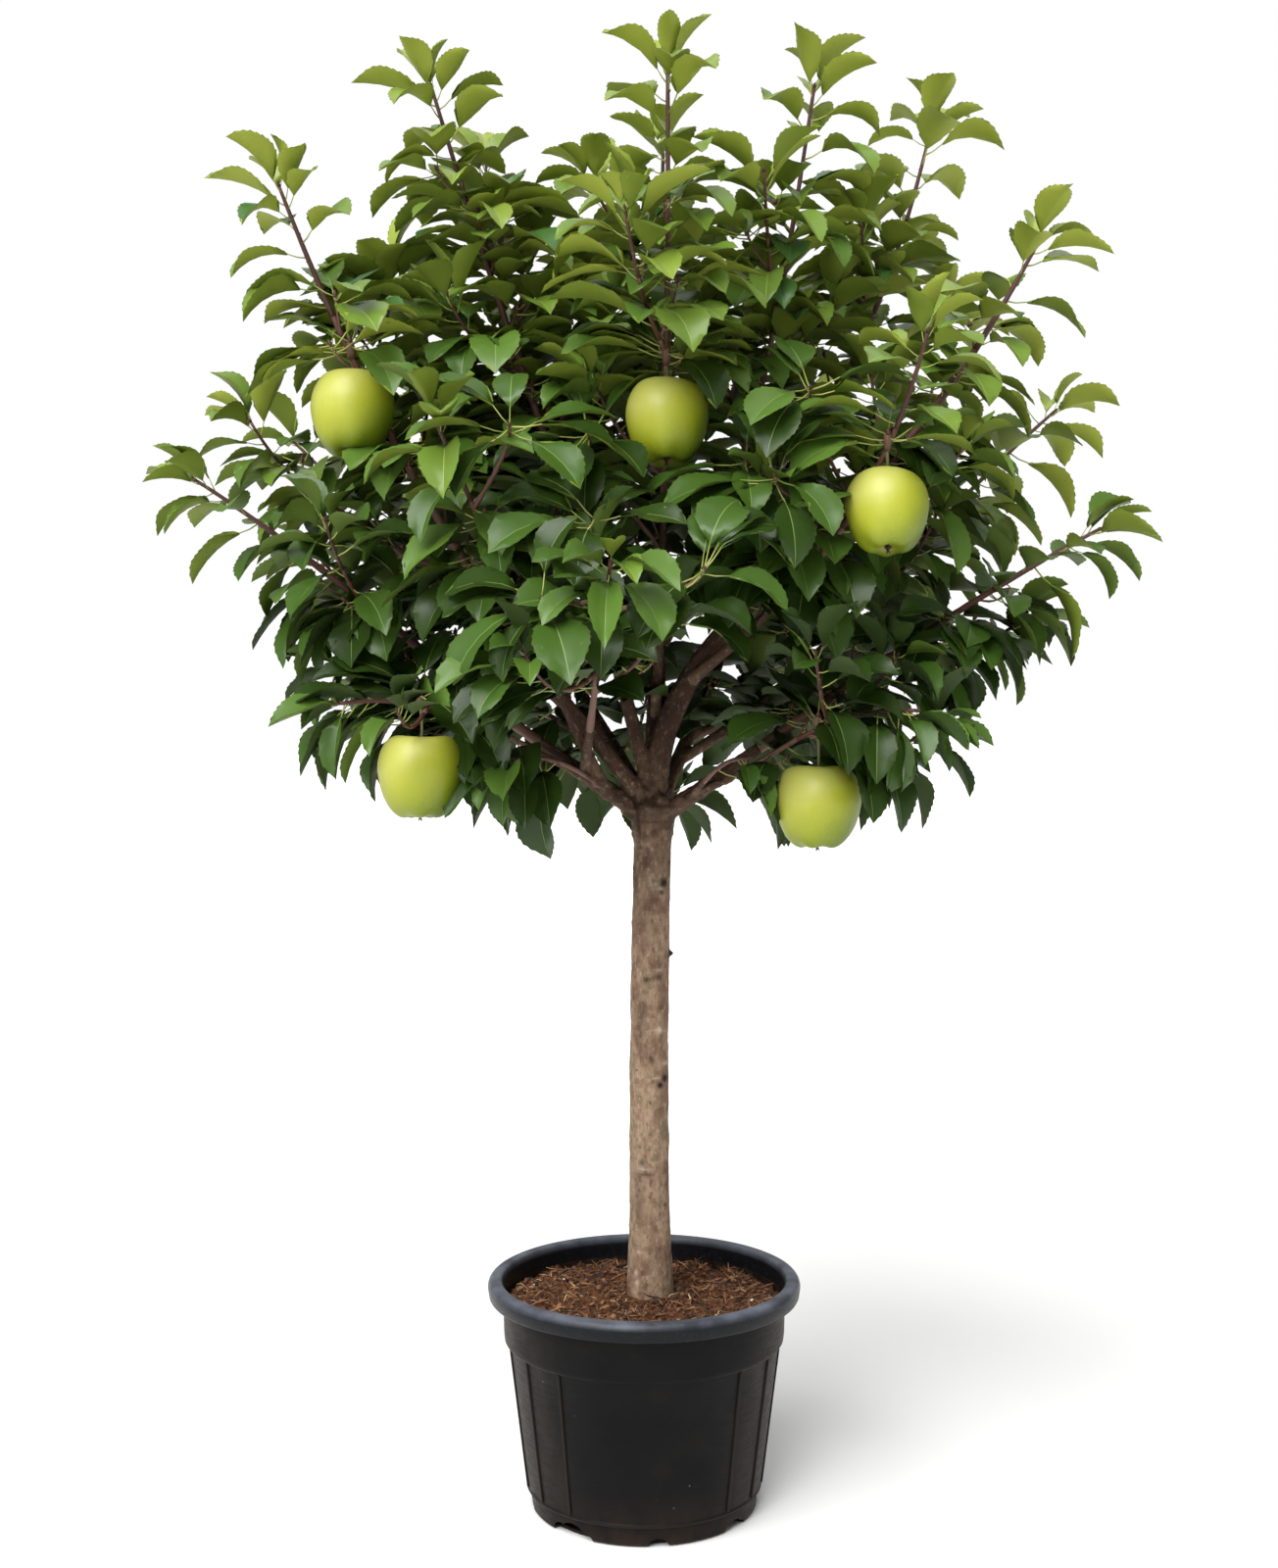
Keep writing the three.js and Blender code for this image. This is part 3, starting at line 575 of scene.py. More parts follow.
def rim_material():
    """The same polypropylene where hands and stacking rub it: greyer, a little shinier, finely scratched."""
    material, tree, shader = new_material("rubbed_black_polypropylene", {
        "IOR": POLYPROPYLENE_IOR, "Specular IOR Level": 0.2})
    place = add_node(tree, "TexCoord").outputs["Object"]
    fine = add_node(tree, "TexNoise", {
        "Vector": place, "Scale": per(4), "Detail": 5, "Roughness": 0.75}).outputs["Fac"]
    base = add_node(tree, "ValToRGB", {"Fac": fine}, (
        (0.36, "#08090b"), (0.56, "#0e0f13"), (0.7, "#1d1f26"))).outputs["Color"]
    # Its crest is worn paler, in patches.
    height = add_node(tree, "SeparateXYZ", {"Vector": place}).outputs["Z"]
    crest = add_node(tree, "MapRange", {
        "Value": height, "From Min": (POT_HEIGHT - 7) * MM, "From Max": (POT_HEIGHT - 1) * MM,
        "To Max": 0.9}).outputs["Result"]
    cloud = add_node(tree, "TexNoise", {"Vector": place, "Scale": per(30), "Detail": 5}).outputs["Fac"]
    patch = add_node(tree, "MapRange", {
        "Value": cloud, "From Min": 0.35, "From Max": 0.65, "To Min": 0.35}).outputs["Result"]
    worn = add_node(tree, "Math", {0: crest, 1: patch}, operation="MULTIPLY").outputs[0]
    base = add_node(tree, "Mix", {FACTOR: worn, FIRST: base, SECOND: colour("#666a75")},
                    data_type="RGBA").outputs[RESULT]
    tree.links.new(base, shader.inputs["Base Color"])
    # Scratches run round the rim and are about 1 mm high.
    round_pot = add_node(tree, "Mapping", {"Vector": place, "Scale": (0.2, 0.2, 3)}).outputs["Vector"]
    scratches = add_node(tree, "TexNoise", {
        "Vector": round_pot, "Scale": per(3), "Detail": 5, "Roughness": 0.75}).outputs["Fac"]
    dull = add_node(tree, "MapRange", {
        "Value": scratches, "From Min": 0.35, "From Max": 0.7,
        "To Min": 0.3, "To Max": 0.5}).outputs["Result"]
    tree.links.new(dull, shader.inputs["Roughness"])
    pitted = add_node(tree, "Bump", {"Height": scratches, "Distance": 0.3 * MM, "Strength": 0.35})
    tree.links.new(pitted.outputs["Normal"], shader.inputs["Normal"])
    return material


def bark_material():
    """Smooth young apple bark: grey-brown and blotched, finely fissured, redder on the boughs, with painted
    shade inside the crown and in the head's crevices.
    """
    material, tree, shader = new_material("apple_bark", {"Roughness": 0.85, "Specular IOR Level": 0.3})
    along = add_node(tree, "Attribute", attribute_name="bark_place").outputs["Vector"]
    marks = add_node(tree, "Attribute", attribute_name="bark_marks").outputs["Vector"]
    # Youth, dark marks together with painted shade inside the crown and in the crevices, and pale marks.
    youth, dark_mark_and_shade, pale_mark = add_node(tree, "SeparateXYZ", {"Vector": marks}).outputs
    drawn = add_node(tree, "Mapping", {"Vector": along, "Scale": (1, 1, 0.7)}).outputs["Vector"]
    upright = add_node(tree, "Mapping", {"Vector": along, "Scale": (1, 1, 0.22)}).outputs["Vector"]
    blotches = add_node(tree, "TexNoise", {
        "Vector": drawn, "Scale": per(20), "Detail": 3, "Roughness": 0.5}).outputs["Fac"]
    mottling = add_node(tree, "TexNoise", {
        "Vector": drawn, "Scale": per(4.5), "Detail": 5, "Roughness": 0.7}).outputs["Fac"]
    fissures = add_node(tree, "TexNoise", {
        "Vector": upright, "Scale": per(2.4), "Detail": 3, "Roughness": 0.6}).outputs["Fac"]
    old = add_node(tree, "ValToRGB", {"Fac": blotches}, (
        (0.33, "#6a5040"), (0.45, "#836a56"), (0.55, "#988069"), (0.66, "#7a6850"))).outputs["Color"]
    young = add_node(tree, "ValToRGB", {"Fac": blotches}, (
        (0.33, "#39241a"), (0.5, "#4e3425"), (0.66, "#634432"))).outputs["Color"]
    base = add_node(tree, "Mix", {FACTOR: youth, FIRST: old, SECOND: young},
                    data_type="RGBA").outputs[RESULT]
    # Flecks of paler outer skin and of darker inner bark, both 3 to 5 mm wide.
    fleck = add_node(tree, "MapRange", {
        "Value": mottling, "From Min": 0.54, "From Max": 0.68, "To Max": 0.5}).outputs["Result"]
    stain = add_node(tree, "MapRange", {
        "Value": mottling, "From Min": 0.46, "From Max": 0.33, "To Max": 0.75}).outputs["Result"]
    crack = add_node(tree, "MapRange", {
        "Value": fissures, "From Min": 0.6, "From Max": 0.7, "To Max": 0.5}).outputs["Result"]
    # Lenticels: short dashes across the stem, about 3 mm wide, on some blotches only.
    flat = add_node(tree, "Mapping", {"Vector": along, "Scale": (1, 1, 2.4)}).outputs["Vector"]
    cells = add_node(tree, "TexVoronoi", {"Vector": flat, "Scale": per(8)}).outputs["Distance"]
    dash = add_node(tree, "MapRange", {"Value": cells, "From Min": 0.2, "From Max": 0.1}).outputs["Result"]
    some = add_node(tree, "MapRange", {
        "Value": blotches, "From Min": 0.47, "From Max": 0.55, "To Max": 0.65}).outputs["Result"]
    dashes = add_node(tree, "Math", {0: dash, 1: some}, operation="MULTIPLY").outputs[0]
    for share, code in ((fleck, "#bda68f"), (stain, "#54402f"), (crack, "#3f2f22"), (dashes, "#49372a"),
                        (pale_mark, "#c9b8a4"), (dark_mark_and_shade, "#281b12")):
        base = add_node(tree, "Mix", {FACTOR: share, FIRST: base, SECOND: colour(code)},
                        data_type="RGBA").outputs[RESULT]
    tree.links.new(base, shader.inputs["Base Color"])
    rough = add_node(tree, "Bump", {"Height": mottling, "Distance": 1.6 * MM, "Strength": 0.6})
    cracked = add_node(tree, "Bump", {
        "Height": fissures, "Distance": -0.8 * MM, "Strength": 0.5, "Normal": rough.outputs["Normal"]})
    dashed = add_node(tree, "Bump", {
        "Height": dashes, "Distance": 0.6 * MM, "Strength": 0.6, "Normal": cracked.outputs["Normal"]})
    tree.links.new(dashed.outputs["Normal"], shader.inputs["Normal"])
    return material


def skin_material():
    """Waxy apple skin: pale yellow-green, faintly streaked, with fine pale lenticels and a russet hollow."""
    material, tree, shader = new_material("apple_skin", {
        "Roughness": 0.45, "Specular IOR Level": 0.42, "Coat Weight": 0.08, "Coat Roughness": 0.3})
    place = add_node(tree, "Attribute", attribute_name="skin_place").outputs["Vector"]
    ripe_and_lit = add_node(tree, "Attribute", attribute_name="skin_ripe").outputs["Fac"]
    hollow = add_node(tree, "Attribute", attribute_name="skin_hollow").outputs["Fac"]
    upright = add_node(tree, "Mapping", {"Vector": place, "Scale": (1, 1, 0.14)}).outputs["Vector"]
    streaks = add_node(tree, "TexNoise", {
        "Vector": upright, "Scale": per(4), "Detail": 4, "Roughness": 0.6}).outputs["Fac"]
    patches = add_node(tree, "TexNoise", {"Vector": place, "Scale": per(26)}).outputs["Fac"]
    # Palest towards the key lamp and darkest away from it, partly the sun-ripened side and partly painted
    # light and shade; the streaks and patches shift that a little.
    blend = add_node(tree, "Mix", {0: 0.4, 2: patches, 3: streaks}, data_type="FLOAT").outputs[0]
    shift = add_node(tree, "Math", {0: blend, 1: 0.25}, operation="MULTIPLY").outputs[0]
    tone = add_node(tree, "Math", {0: ripe_and_lit, 1: shift}, operation="ADD").outputs[0]
    base = add_node(tree, "ValToRGB", {"Fac": tone}, (
        (0.12, "#505f08"), (0.36, "#758410"), (0.6, "#969e1e"), (0.82, "#a9ad34"),
        (1.0, "#b9ba58"))).outputs["Color"]
    # Lenticels: pale dots under 1 mm wide and 5 mm apart.
    cells = add_node(tree, "TexVoronoi", {"Vector": place, "Scale": per(5)}).outputs["Distance"]
    dots = add_node(tree, "MapRange", {
        "Value": cells, "From Min": 0.12, "From Max": 0.05, "To Max": 0.35}).outputs["Result"]
    base = add_node(tree, "Mix", {FACTOR: dots, FIRST: base, SECOND: colour("#d0d27c")},
                    data_type="RGBA").outputs[RESULT]
    russet = add_node(tree, "ValToRGB", {"Fac": streaks}, (
        (0.35, "#7a7a26"), (0.65, "#94823c"))).outputs["Color"]
    base = add_node(tree, "Mix", {FACTOR: hollow, FIRST: base, SECOND: russet},
                    data_type="RGBA").outputs[RESULT]
    tree.links.new(base, shader.inputs["Base Color"])
    uneven = add_node(tree, "Bump", {"Height": patches, "Distance": 0.6 * MM, "Strength": 0.15})
    tree.links.new(uneven.outputs["Normal"], shader.inputs["Normal"])
    return material


def compost_material():
    """Fibrous bark compost, painted darker between its crumbs as shade in the hollows."""
    material, tree, shader = new_material("bark_compost", {"Roughness": 0.95, "Specular IOR Level": 0.2})
    place = add_node(tree, "TexCoord").outputs["Object"]
    crumbs = add_node(tree, "TexNoise", {
        "Vector": place, "Scale": per(3.5), "Detail": 5, "Roughness": 0.7}).outputs["Fac"]
    # The sunken parts of the crumbs are painted darkest, as shade.
    base = add_node(tree, "ValToRGB", {"Fac": crumbs}, (
        (0.32, "#22140c"), (0.5, "#553520"), (0.66, "#7f5436"), (0.8, "#9a6b48"))).outputs["Color"]
    tree.links.new(base, shader.inputs["Base Color"])
    lumpy = add_node(tree, "Bump", {"Height": crumbs, "Distance": 2.5 * MM, "Strength": 0.9})
    tree.links.new(lumpy.outputs["Normal"], shader.inputs["Normal"])
    return material


# ---- limbs

def trunk_radius(way):
    height = way * TRUNK_LENGTH
    below = TRUNK_LENGTH - height
    flare = FLARE * (1 - smoothstep(height, 0, FLARE_HEIGHT))
    swell = HEAD_SWELL * (1 - smoothstep(below, HEAD_ROUND, HEAD_LENGTH))
    rounding = np.sqrt(np.minimum(1, (below + HEAD_BLUNT * HEAD_ROUND) / HEAD_ROUND))
    return (lerp(TRUNK_LOW_RADIUS, TRUNK_HIGH_RADIUS, way) + flare + swell) * rounding


def trunk_point(way):
    x = lerp(TRUNK_FOOT_X, TRUNK_HEAD_X, way) - TRUNK_BOW * math.sin(math.pi * way)
    return np.array([x, 0, lerp(TRUNK_LOW.z, TRUNK_HIGH.z, way)])


def limb_curve(foot, tip, start, lean):
    chord = np.linalg.norm(foot - tip)
    out = level_direction(tip - foot)
    first, last = (out * math.sin(math.radians(a)) + UP * math.cos(math.radians(a)) for a in (start, lean))
    return bezier(foot, foot + first * chord * START_PULL, tip - last * chord * END_PULL, tip)


class Limb:
    """A bough, then the stem of its mass, as one curve from the parent to the tip."""

    def __init__(self, name, parent, at, azimuth, reach, height, lean, start, radius):
        foot = parent.curve.at(parent.to * at)
        self.name = name
        self.curve = limb_curve(foot, polar(azimuth, reach, height), start, lean)
        self.length = self.curve.length
        self.to = lerp(BOUGH_SHARE_LOW, BOUGH_SHARE_HIGH, smoothstep(height, TIP_LOW, TIP_HIGH))
        self.radius = radius
        self.fruit = None
        kept, stray = STRAYS.get(name, (1, (0, 0, 0)))
        self.line = Curve(
            lambda way: self.curve.at(way * kept) + np.array(stray) * smoothstep(way, self.to, 1))

    def bough_radius(self, along):
        return self.radius * lerp(1, BOUGH_TAPER, along)

    def stem_radius(self, along):
        return lerp(self.radius * BOUGH_TAPER * STEM_STEP_IN, STEM_TIP_RADIUS, along)


class Trunk:
    """What a limb asks of its parent, for the limbs that grow from the trunk."""

    curve = Curve(trunk_point)
    to = 1


def grow_limbs():
    limbs = []
    for name, parent_name, *rest in LIMB_ROWS:
        parent = next((limb for limb in limbs if limb.name == parent_name), Trunk)
        limbs.append(Limb(name, parent, *rest))
    for limb in limbs:
        if limb.name in FRUIT_ROWS:
            back, drop, tip = FRUIT_ROWS[limb.name]
            seat = limb.curve.at(1 - back / limb.length)
            limb.fruit = {"seat": seat, "centre": seat - UP * (drop + APPLE_HEIGHT / 2), "tip": tip}
    return limbs


LIMBS = grow_limbs()


def sampled(curve, start, end, radius_at):
    """Points along a stretch of a curve, and the radius at each."""
    count = math.ceil(curve.length * (end - start) / SAMPLE_STEP)
    along = np.linspace(0, 1, count + 1)
    return curve.at(lerp(start, end, along)), np.array([radius_at(a) for a in along])


STRETCHES = [sampled(Trunk.curve, 0, 1, trunk_radius)]
STRETCHES += [sampled(limb.curve, 0, limb.to, limb.bough_radius) for limb in LIMBS]
LIMB_POINTS = np.concatenate([points for points, _ in STRETCHES])
LIMB_RADII = np.concatenate([radii for _, radii in STRETCHES])
STEM_POINTS = [sampled(limb.curve, limb.to, 1, lambda along: 0)[0] for limb in LIMBS]
APPLES = np.array([limb.fruit["centre"] for limb in LIMBS if limb.fruit])


def distances(points, others):
    return np.linalg.norm(points[:, None] - others[None], axis=2)


def fits(points, own, margin):
    """Whether points lie in the space of mass number own, clear of every limb and apple."""
    if points[:, 2].min() < CROWN_FOOT or (distances(points, LIMB_POINTS) - LIMB_RADII).min() < margin:
        return False
    if distances(points, APPLES).min() - APPLE_RADIUS < APPLE_MARGIN:
        return False
    near = np.array([distances(points, stem).min(axis=1) for stem in STEM_POINTS])
    others = np.delete(near, own, axis=0)
    return bool((others > near[own] + SPACE_MARGIN).all())


# ---- shoots and spurs

def hides_fruit(points, opening, eye):
    """Whether any of the points stands before a fruit, seen from an eye."""
    for apple in APPLES:
        sight = unit(apple - eye)
        ahead = (apple - points) @ sight
        aside = np.linalg.norm(apple - points - ahead[:, None] * sight, axis=1)
        if ((ahead > -FRUIT_BEHIND) & (aside < opening)).any():
            return True
    return False


def hides_opening(points):
    """Whether any of the points stands before the fork or between the stems, seen from the front."""
    ways = points - FRONT_EYE
    seen = FRONT_EYE + ways * (-FRONT_EYE[1] / ways[:, 1])[:, None]
    for openings, counts in ((FORK_OPENINGS, points[:, 1] < FORK_BACK), (SKY_OPENINGS, True)):
        for x, z, wide, high in openings:
            across, up = (seen[:, 0] - x) / wide, (seen[:, 2] - z) / high
            if ((across ** 2 + up ** 2 < 1) & counts).any():
                return True
    return False


def outward(point):
    """The way out of the crown towards the light, at a point."""
    return (point - CROWN_MIDDLE) / CROWN_REACH


def branch_direction(tangent, angle, turn):
    """A direction at an angle from a shoot, turned about it, both in degrees."""
    side = level_direction(np.cross(tangent, UP))
    rise = unit(np.cross(side, tangent))
    angle, turn = math.radians(angle), math.radians(turn)
    return (tangent * math.cos(angle) + side * math.sin(angle) * math.cos(turn)
            + rise * math.sin(angle) * math.sin(turn))


def side_curve(foot, direction, length):
    tip = foot + direction * length * (1 - SIDE_RISE / 2) + UP * length * SIDE_RISE
    return bezier(foot, foot + direction * length * 0.5, tip)


class Shoot:
    """A twig with its radius from foot to tip. Leaves and spurs start at a distance from its foot."""

    def __init__(self, limb, own, number, curve, start, radii):
        self.limb, self.own, self.number = limb, own, number
        self.curve, self.start, self.radii = curve, start, radii
        self.length = curve.length

    def radius(self, share):
        """The radius at a share of the whole curve."""
        start = self.start / self.length
        return lerp(*self.radii, np.clip((share - start) / (1 - start), 0, 1))


def side_shoots(limb, own):
    branched = limb.length * (1 - limb.to) * (1 - SIDE_BARE) - SIDE_FIRST
    count = max(SIDE_LEAST, math.floor(branched / SIDE_STEP + 0.5))
    for number in range(1, count + 1):
        distance = SIDE_FIRST + branched * (number - 1) / (count - 1)
        way = (limb.to * limb.length + distance) / limb.line.length
        foot = limb.line.at(way)
        stem_share = distance / (limb.length * (1 - limb.to))
        if stem_share > lerp(*SIDE_LAST, smoothstep(limb.curve.at(1)[2], TIP_LOW, TIP_HIGH)):
            return
        turn = number * GOLDEN_TURN + own * SIDE_TURN
        direction = branch_direction(limb.line.tangent(way), SIDE_SPREAD, turn)
        full = SIDE_LENGTH * (1 - SIDE_SHORTENING * stem_share) * spread(SIDE_RANGE, own, number, 7)
        for share in SIDE_TRIES:
            curve = side_curve(foot, direction, full * share)
            line = curve.at(VIEW_CHECKS)
            if hides_fruit(line, APPLE_RADIUS, FRONT_EYE) or hides_opening(line):
                continue
            if fits(curve.at(np.array(SIDE_CHECKS)), own, TWIG_MARGIN):
                yield Shoot(limb, own, number, curve, 0, (SIDE_RADIUS, SIDE_TIP_RADIUS))
                break


def fill_shoots(limb, own):
    """Shoots that end at their own places."""
    for number, (name, way, tip) in enumerate(FILL_SHOOTS, FILL_NUMBER):
        if name == limb.name:
            foot, tip = limb.line.at(way), np.array(tip, dtype=float)
            bend = foot + limb.line.tangent(way) * np.linalg.norm(tip - foot) * FILL_BEND
            yield Shoot(limb, own, number, bezier(foot, bend, tip), 0, (SIDE_RADIUS, SIDE_TIP_RADIUS))


def spurs_on(shoot, first, last, key):
    """Short spurs along a stretch of a shoot. Each will bear a rosette of leaves at its tip."""
    count = int((last - first) // SPUR_STEP)
    for i in range(count):
        keys = (shoot.own, shoot.number, key + i)
        way = (first + (i + spread(SPUR_SHIFT, *keys, 1)) * SPUR_STEP) / shoot.length
        foot = shoot.curve.at(way)
        turn = i * GOLDEN_TURN + spread((0, 360), *keys, 2)
        direction = branch_direction(shoot.curve.tangent(way), SPUR_ANGLE, turn)
        curve = side_curve(foot, direction, spread(SPUR_LENGTH, *keys, 3))
        checks = curve.at(SPUR_CHECKS)
        if (distances(checks, LIMB_POINTS) - LIMB_RADII).min() < TWIG_MARGIN:
            continue
        if distances(checks, APPLES).min() - APPLE_RADIUS < TWIG_MARGIN or hides_opening(checks):
            continue
        yield Shoot(shoot.limb, shoot.own, key + i, curve, 0, (SPUR_RADIUS, SPUR_TIP_RADIUS))


# ---- leaves

class Leaves:
    """The poses of all leaves, each kept clear of limbs, apples and the blades placed before it."""

    def __init__(self):
        self.rows = []
        self.middles = {}  # middles of the blades, by cells of their least distance
        self.limb_tree = tree_of(LIMB_POINTS)

    def is_clear(self, points):
        """Whether a blade along these points is clear. If it is, it counts from now on."""
        if hides_fruit(points, FRUIT_OPENING, FRONT_EYE) or hides_fruit(points, LIGHT_OPENING, FRONT_LIGHT):
            return False
        if hides_opening(points):
            return False
        if distances(points, APPLES).min() - APPLE_RADIUS < LEAF_CLEARANCE:
            return False
        for point in points[1:]:
            _, i, distance = self.limb_tree.find(point)
            if distance - LIMB_RADII[i] < LEAF_CLEARANCE:
                return False
        middle = points[len(points) // 2]
        cell = tuple(int(c // BLADE_SPACING) for c in middle)
        for steps in itertools.product((-1, 0, 1), repeat=3):
            for other in self.middles.get(tuple(c + step for c, step in zip(cell, steps)), ()):
                if np.linalg.norm(other - middle) < BLADE_SPACING:
                    return False
        self.middles.setdefault(cell, []).append(middle)
        return True

    def place(self, shoot, way, tangent, kind, turn, key):
        """A leaf on a shoot, at the first turn about it where its blade is clear."""
        for extra in LEAF_TRIES:
            direction = branch_direction(tangent, kind["angle"], turn + extra)
            pose = leaf_pose(shoot.curve.at(way), direction, kind, shoot.own, shoot.number, key)
            if self.is_clear(blade_points(pose, BLADE_CHECKS)):
                pose["limb"] = shoot.limb
                self.rows.append(pose)
                return


def leaf_pose(seat, direction, kind, *keys):
    """How a leaf lies: it leaves its seat at a pitch over its level heading, and its blade bends down."""
    heading = level_direction(direction)
    low = 1 - smoothstep(seat[2], HANG_LOW, HANG_HIGH)
    hang = kind["hang"] * HANG_PITCH * low
    rise = kind["rise"] * math.asin(max(-1, min(1, direction[2])))
    pitch = rise + math.radians(spread(PITCH_RANGE, *keys, 1) - hang)
    bend = kind["droop"] * (1 - HANG_STIFFNESS * kind["hang"] * low)
    droop = math.radians(bend * spread(DROOP_RANGE, *keys, 2))
    middle = pitch - droop / 2
    normal = UP * math.cos(middle) - heading * math.sin(middle)
    light = UP * LIGHT_ABOVE + outward(seat)
    size = kind["size"] * spread(LENGTH_RANGE, *keys, 4)
    turn = -math.atan2(light.dot(np.cross(UP, heading)), max(light.dot(normal), LEAST_FACING))
    return {
        "seat": seat,
        "heading": heading,
        "size": size,
        "stalk": PETIOLE_LENGTH * kind["stalk"] * size,
        "pitch": pitch,
        "droop": droop,
        "roll": turn * LEAF_FACING + math.radians(spread((-LEAF_ROLL, LEAF_ROLL), *keys, 3)),
        "fold": math.radians(spread(kind["fold"], *keys, 5)),
        "wave": spread((0, 1), *keys, 6),
        "width": spread(WIDTH_RANGE, *keys, 7),
        "grade": kind["grade"],
        "luck": chance(*keys, 8),
    }


def blade_points(pose, ways):
    """Points along the midrib of one blade."""
    angle = pose["pitch"] - pose["droop"] * ways
    foot = pose["seat"] + pose["stalk"] * (
        pose["heading"] * math.cos(pose["pitch"]) + UP * math.sin(pose["pitch"]))
    radius = BLADE_LENGTH * pose["size"] / pose["droop"]
    forward = radius * (math.sin(pose["pitch"]) - np.sin(angle))
    upward = radius * (np.cos(angle) - math.cos(pose["pitch"]))
    return foot + forward[:, None] * pose["heading"] + upward[:, None] * UP


def leaves_on(leaves, shoot, step):
    """A tuft at the tip of a shoot, then leaves back along it, closest near the tip."""
    shift = TIP_TURN + shoot.number * SHOOT_TURN
    hang = TIP_HANG if shoot.curve.tangent(1)[2] > RISING else 1
    for i, size in enumerate(TIP_SIZES):
        way = 1 - TIP_SEAT * (0.5 + i) / shoot.length
        kind = dict(YOUNG_LEAF, size=size, angle=TIP_ANGLE + TIP_OPENING * i, hang=hang)
        leaves.place(shoot, way, shoot.curve.tangent(way), kind, i * GOLDEN_TURN + shift, TIP_LEAF_KEY + i)
    back, i = step, 0
    while back < shoot.length - shoot.start - step:
        way = 1 - back / shoot.length
        kind = dict(GROWN_LEAF, size=growing(GROWN_SIZES, i), hang=lerp(hang, 1, min(1, i / HANG_LEAVES)))
        leaves.place(shoot, way, shoot.curve.tangent(way), kind, i * GOLDEN_TURN + shift, i)
        back += step * growing(STEP_SHARES, i)
        i += 1


def rosette_on(leaves, spur, kind, count):
    """Leaves round the tip of a spur."""
    tangent = spur.curve.tangent(ROSETTE_FACING)
    for i in range(count):
        turn = i * GOLDEN_TURN + spur.number * ROSETTE_TURN
        leaves.place(spur, 1 - ROSETTE_STEP * i / spur.length, tangent, kind, turn, ROSETTE_KEY + i)


def front_spurs():
    """Spurs that end at their own places, facing the front."""
    for number, (name, way, tip) in enumerate(FRONT_SPURS, FRONT_SPUR_NUMBER):
        own, limb = next((i, limb) for i, limb in enumerate(LIMBS) if limb.name == name)
        foot, tip = limb.curve.at(way), np.array(tip, dtype=float)
        bend = tip - unit(FRONT_FACING) * np.linalg.norm(tip - foot) * FRONT_BEND
        yield Shoot(limb, own, number, bezier(foot, bend, tip), 0, (SIDE_RADIUS, SPUR_RADIUS))


def fruit_spurs():
    """The knobbly spurs that the apples hang from."""
    for own, limb in enumerate(LIMBS):
        if limb.fruit:
            seat = limb.fruit["seat"]
            top = seat + FRUIT_SPUR
            curve = bezier(seat, (seat + top) / 2, top)
            yield Shoot(limb, own, FRUIT_SPUR_NUMBER, curve, 0, FRUIT_SPUR_RADII)


def grow_crown():
    """The poses of all leaves, and the shoots and the spurs that bear them."""
    leaves, shoots, spurs = Leaves(), [], []
    open_spurs = [*front_spurs(), *fruit_spurs()]
    for spur in open_spurs:
        rosette_on(leaves, spur, OPEN_LEAF, OPEN_LEAVES)
    for own, limb in enumerate(LIMBS):
        foot = limb.length * limb.to
        stem = Shoot(limb, own, 0, limb.line, foot, (limb.stem_radius(0), STEM_TIP_RADIUS))
        own_shoots = [stem, *side_shoots(limb, own), *fill_shoots(limb, own)]
        for shoot in own_shoots:
            leaves_on(leaves, shoot, STEM_LEAF_STEP if shoot is stem else LEAF_STEP)
        shoots += own_shoots
        for shoot in own_shoots:
            last = shoot.length - (STEM_BARE_TIP if shoot is stem else SHOOT_BARE_TIP)
            number = SPUR_NUMBER + shoot.number * SPUR_NUMBER_STEP
            spurs += spurs_on(shoot, shoot.start + SPUR_FIRST, last, number)
        bare = BOUGH_BARE_REAR if limb.curve.at(1)[1] > REAR_FROM else BOUGH_BARE
        spurs += spurs_on(stem, bare * foot, foot, BOUGH_SPUR_NUMBER)
    for spur in spurs:
        rosette_on(leaves, spur, SPUR_LEAF, round(spread(SPUR_LEAVES, spur.own, spur.number, 5)))
    return leaves.rows, shoots, spurs + open_spurs


# One leaf as corners: place along the blade, share of the half-width, offset and lift in millimetres.
UPPER, UNDER, MIDRIB = range(3)  # the parts of a blade
BLADE_ROWS = 5
TOOTH = 0.7  # half the depth of the teeth
TOOTH_PLACES = (0.12, 0.5, 0.62)  # notch, tooth and notch in the stretch between two rows
TOOTH_SIDES = (-1, 1, -1)
RIB_HALF_WIDTH = 0.65
RIB_LIFT = 0.15
RIB_TAPER = 0.6  # how much the midrib thins towards the tip
VEIN_SHARE = 0.5  # share of the half-width where the blade swells
PILLOW = 2.2  # how far the blade swells between its side veins, by turns on its left and right
CHEVRON = 0.42  # how far the side veins run forward, over the half-width
RIPPLES = 1.2  # waves along the margin
RIPPLE_HEIGHT = 1.9
UNDER_DEPTH = 1.5  # from the upper side down to the raised midrib of the underside
UNDER_EDGE = 0.6  # and down to the underside near its margin
EDGE_SHARE = 0.9  # share of the half-width where that edge starts


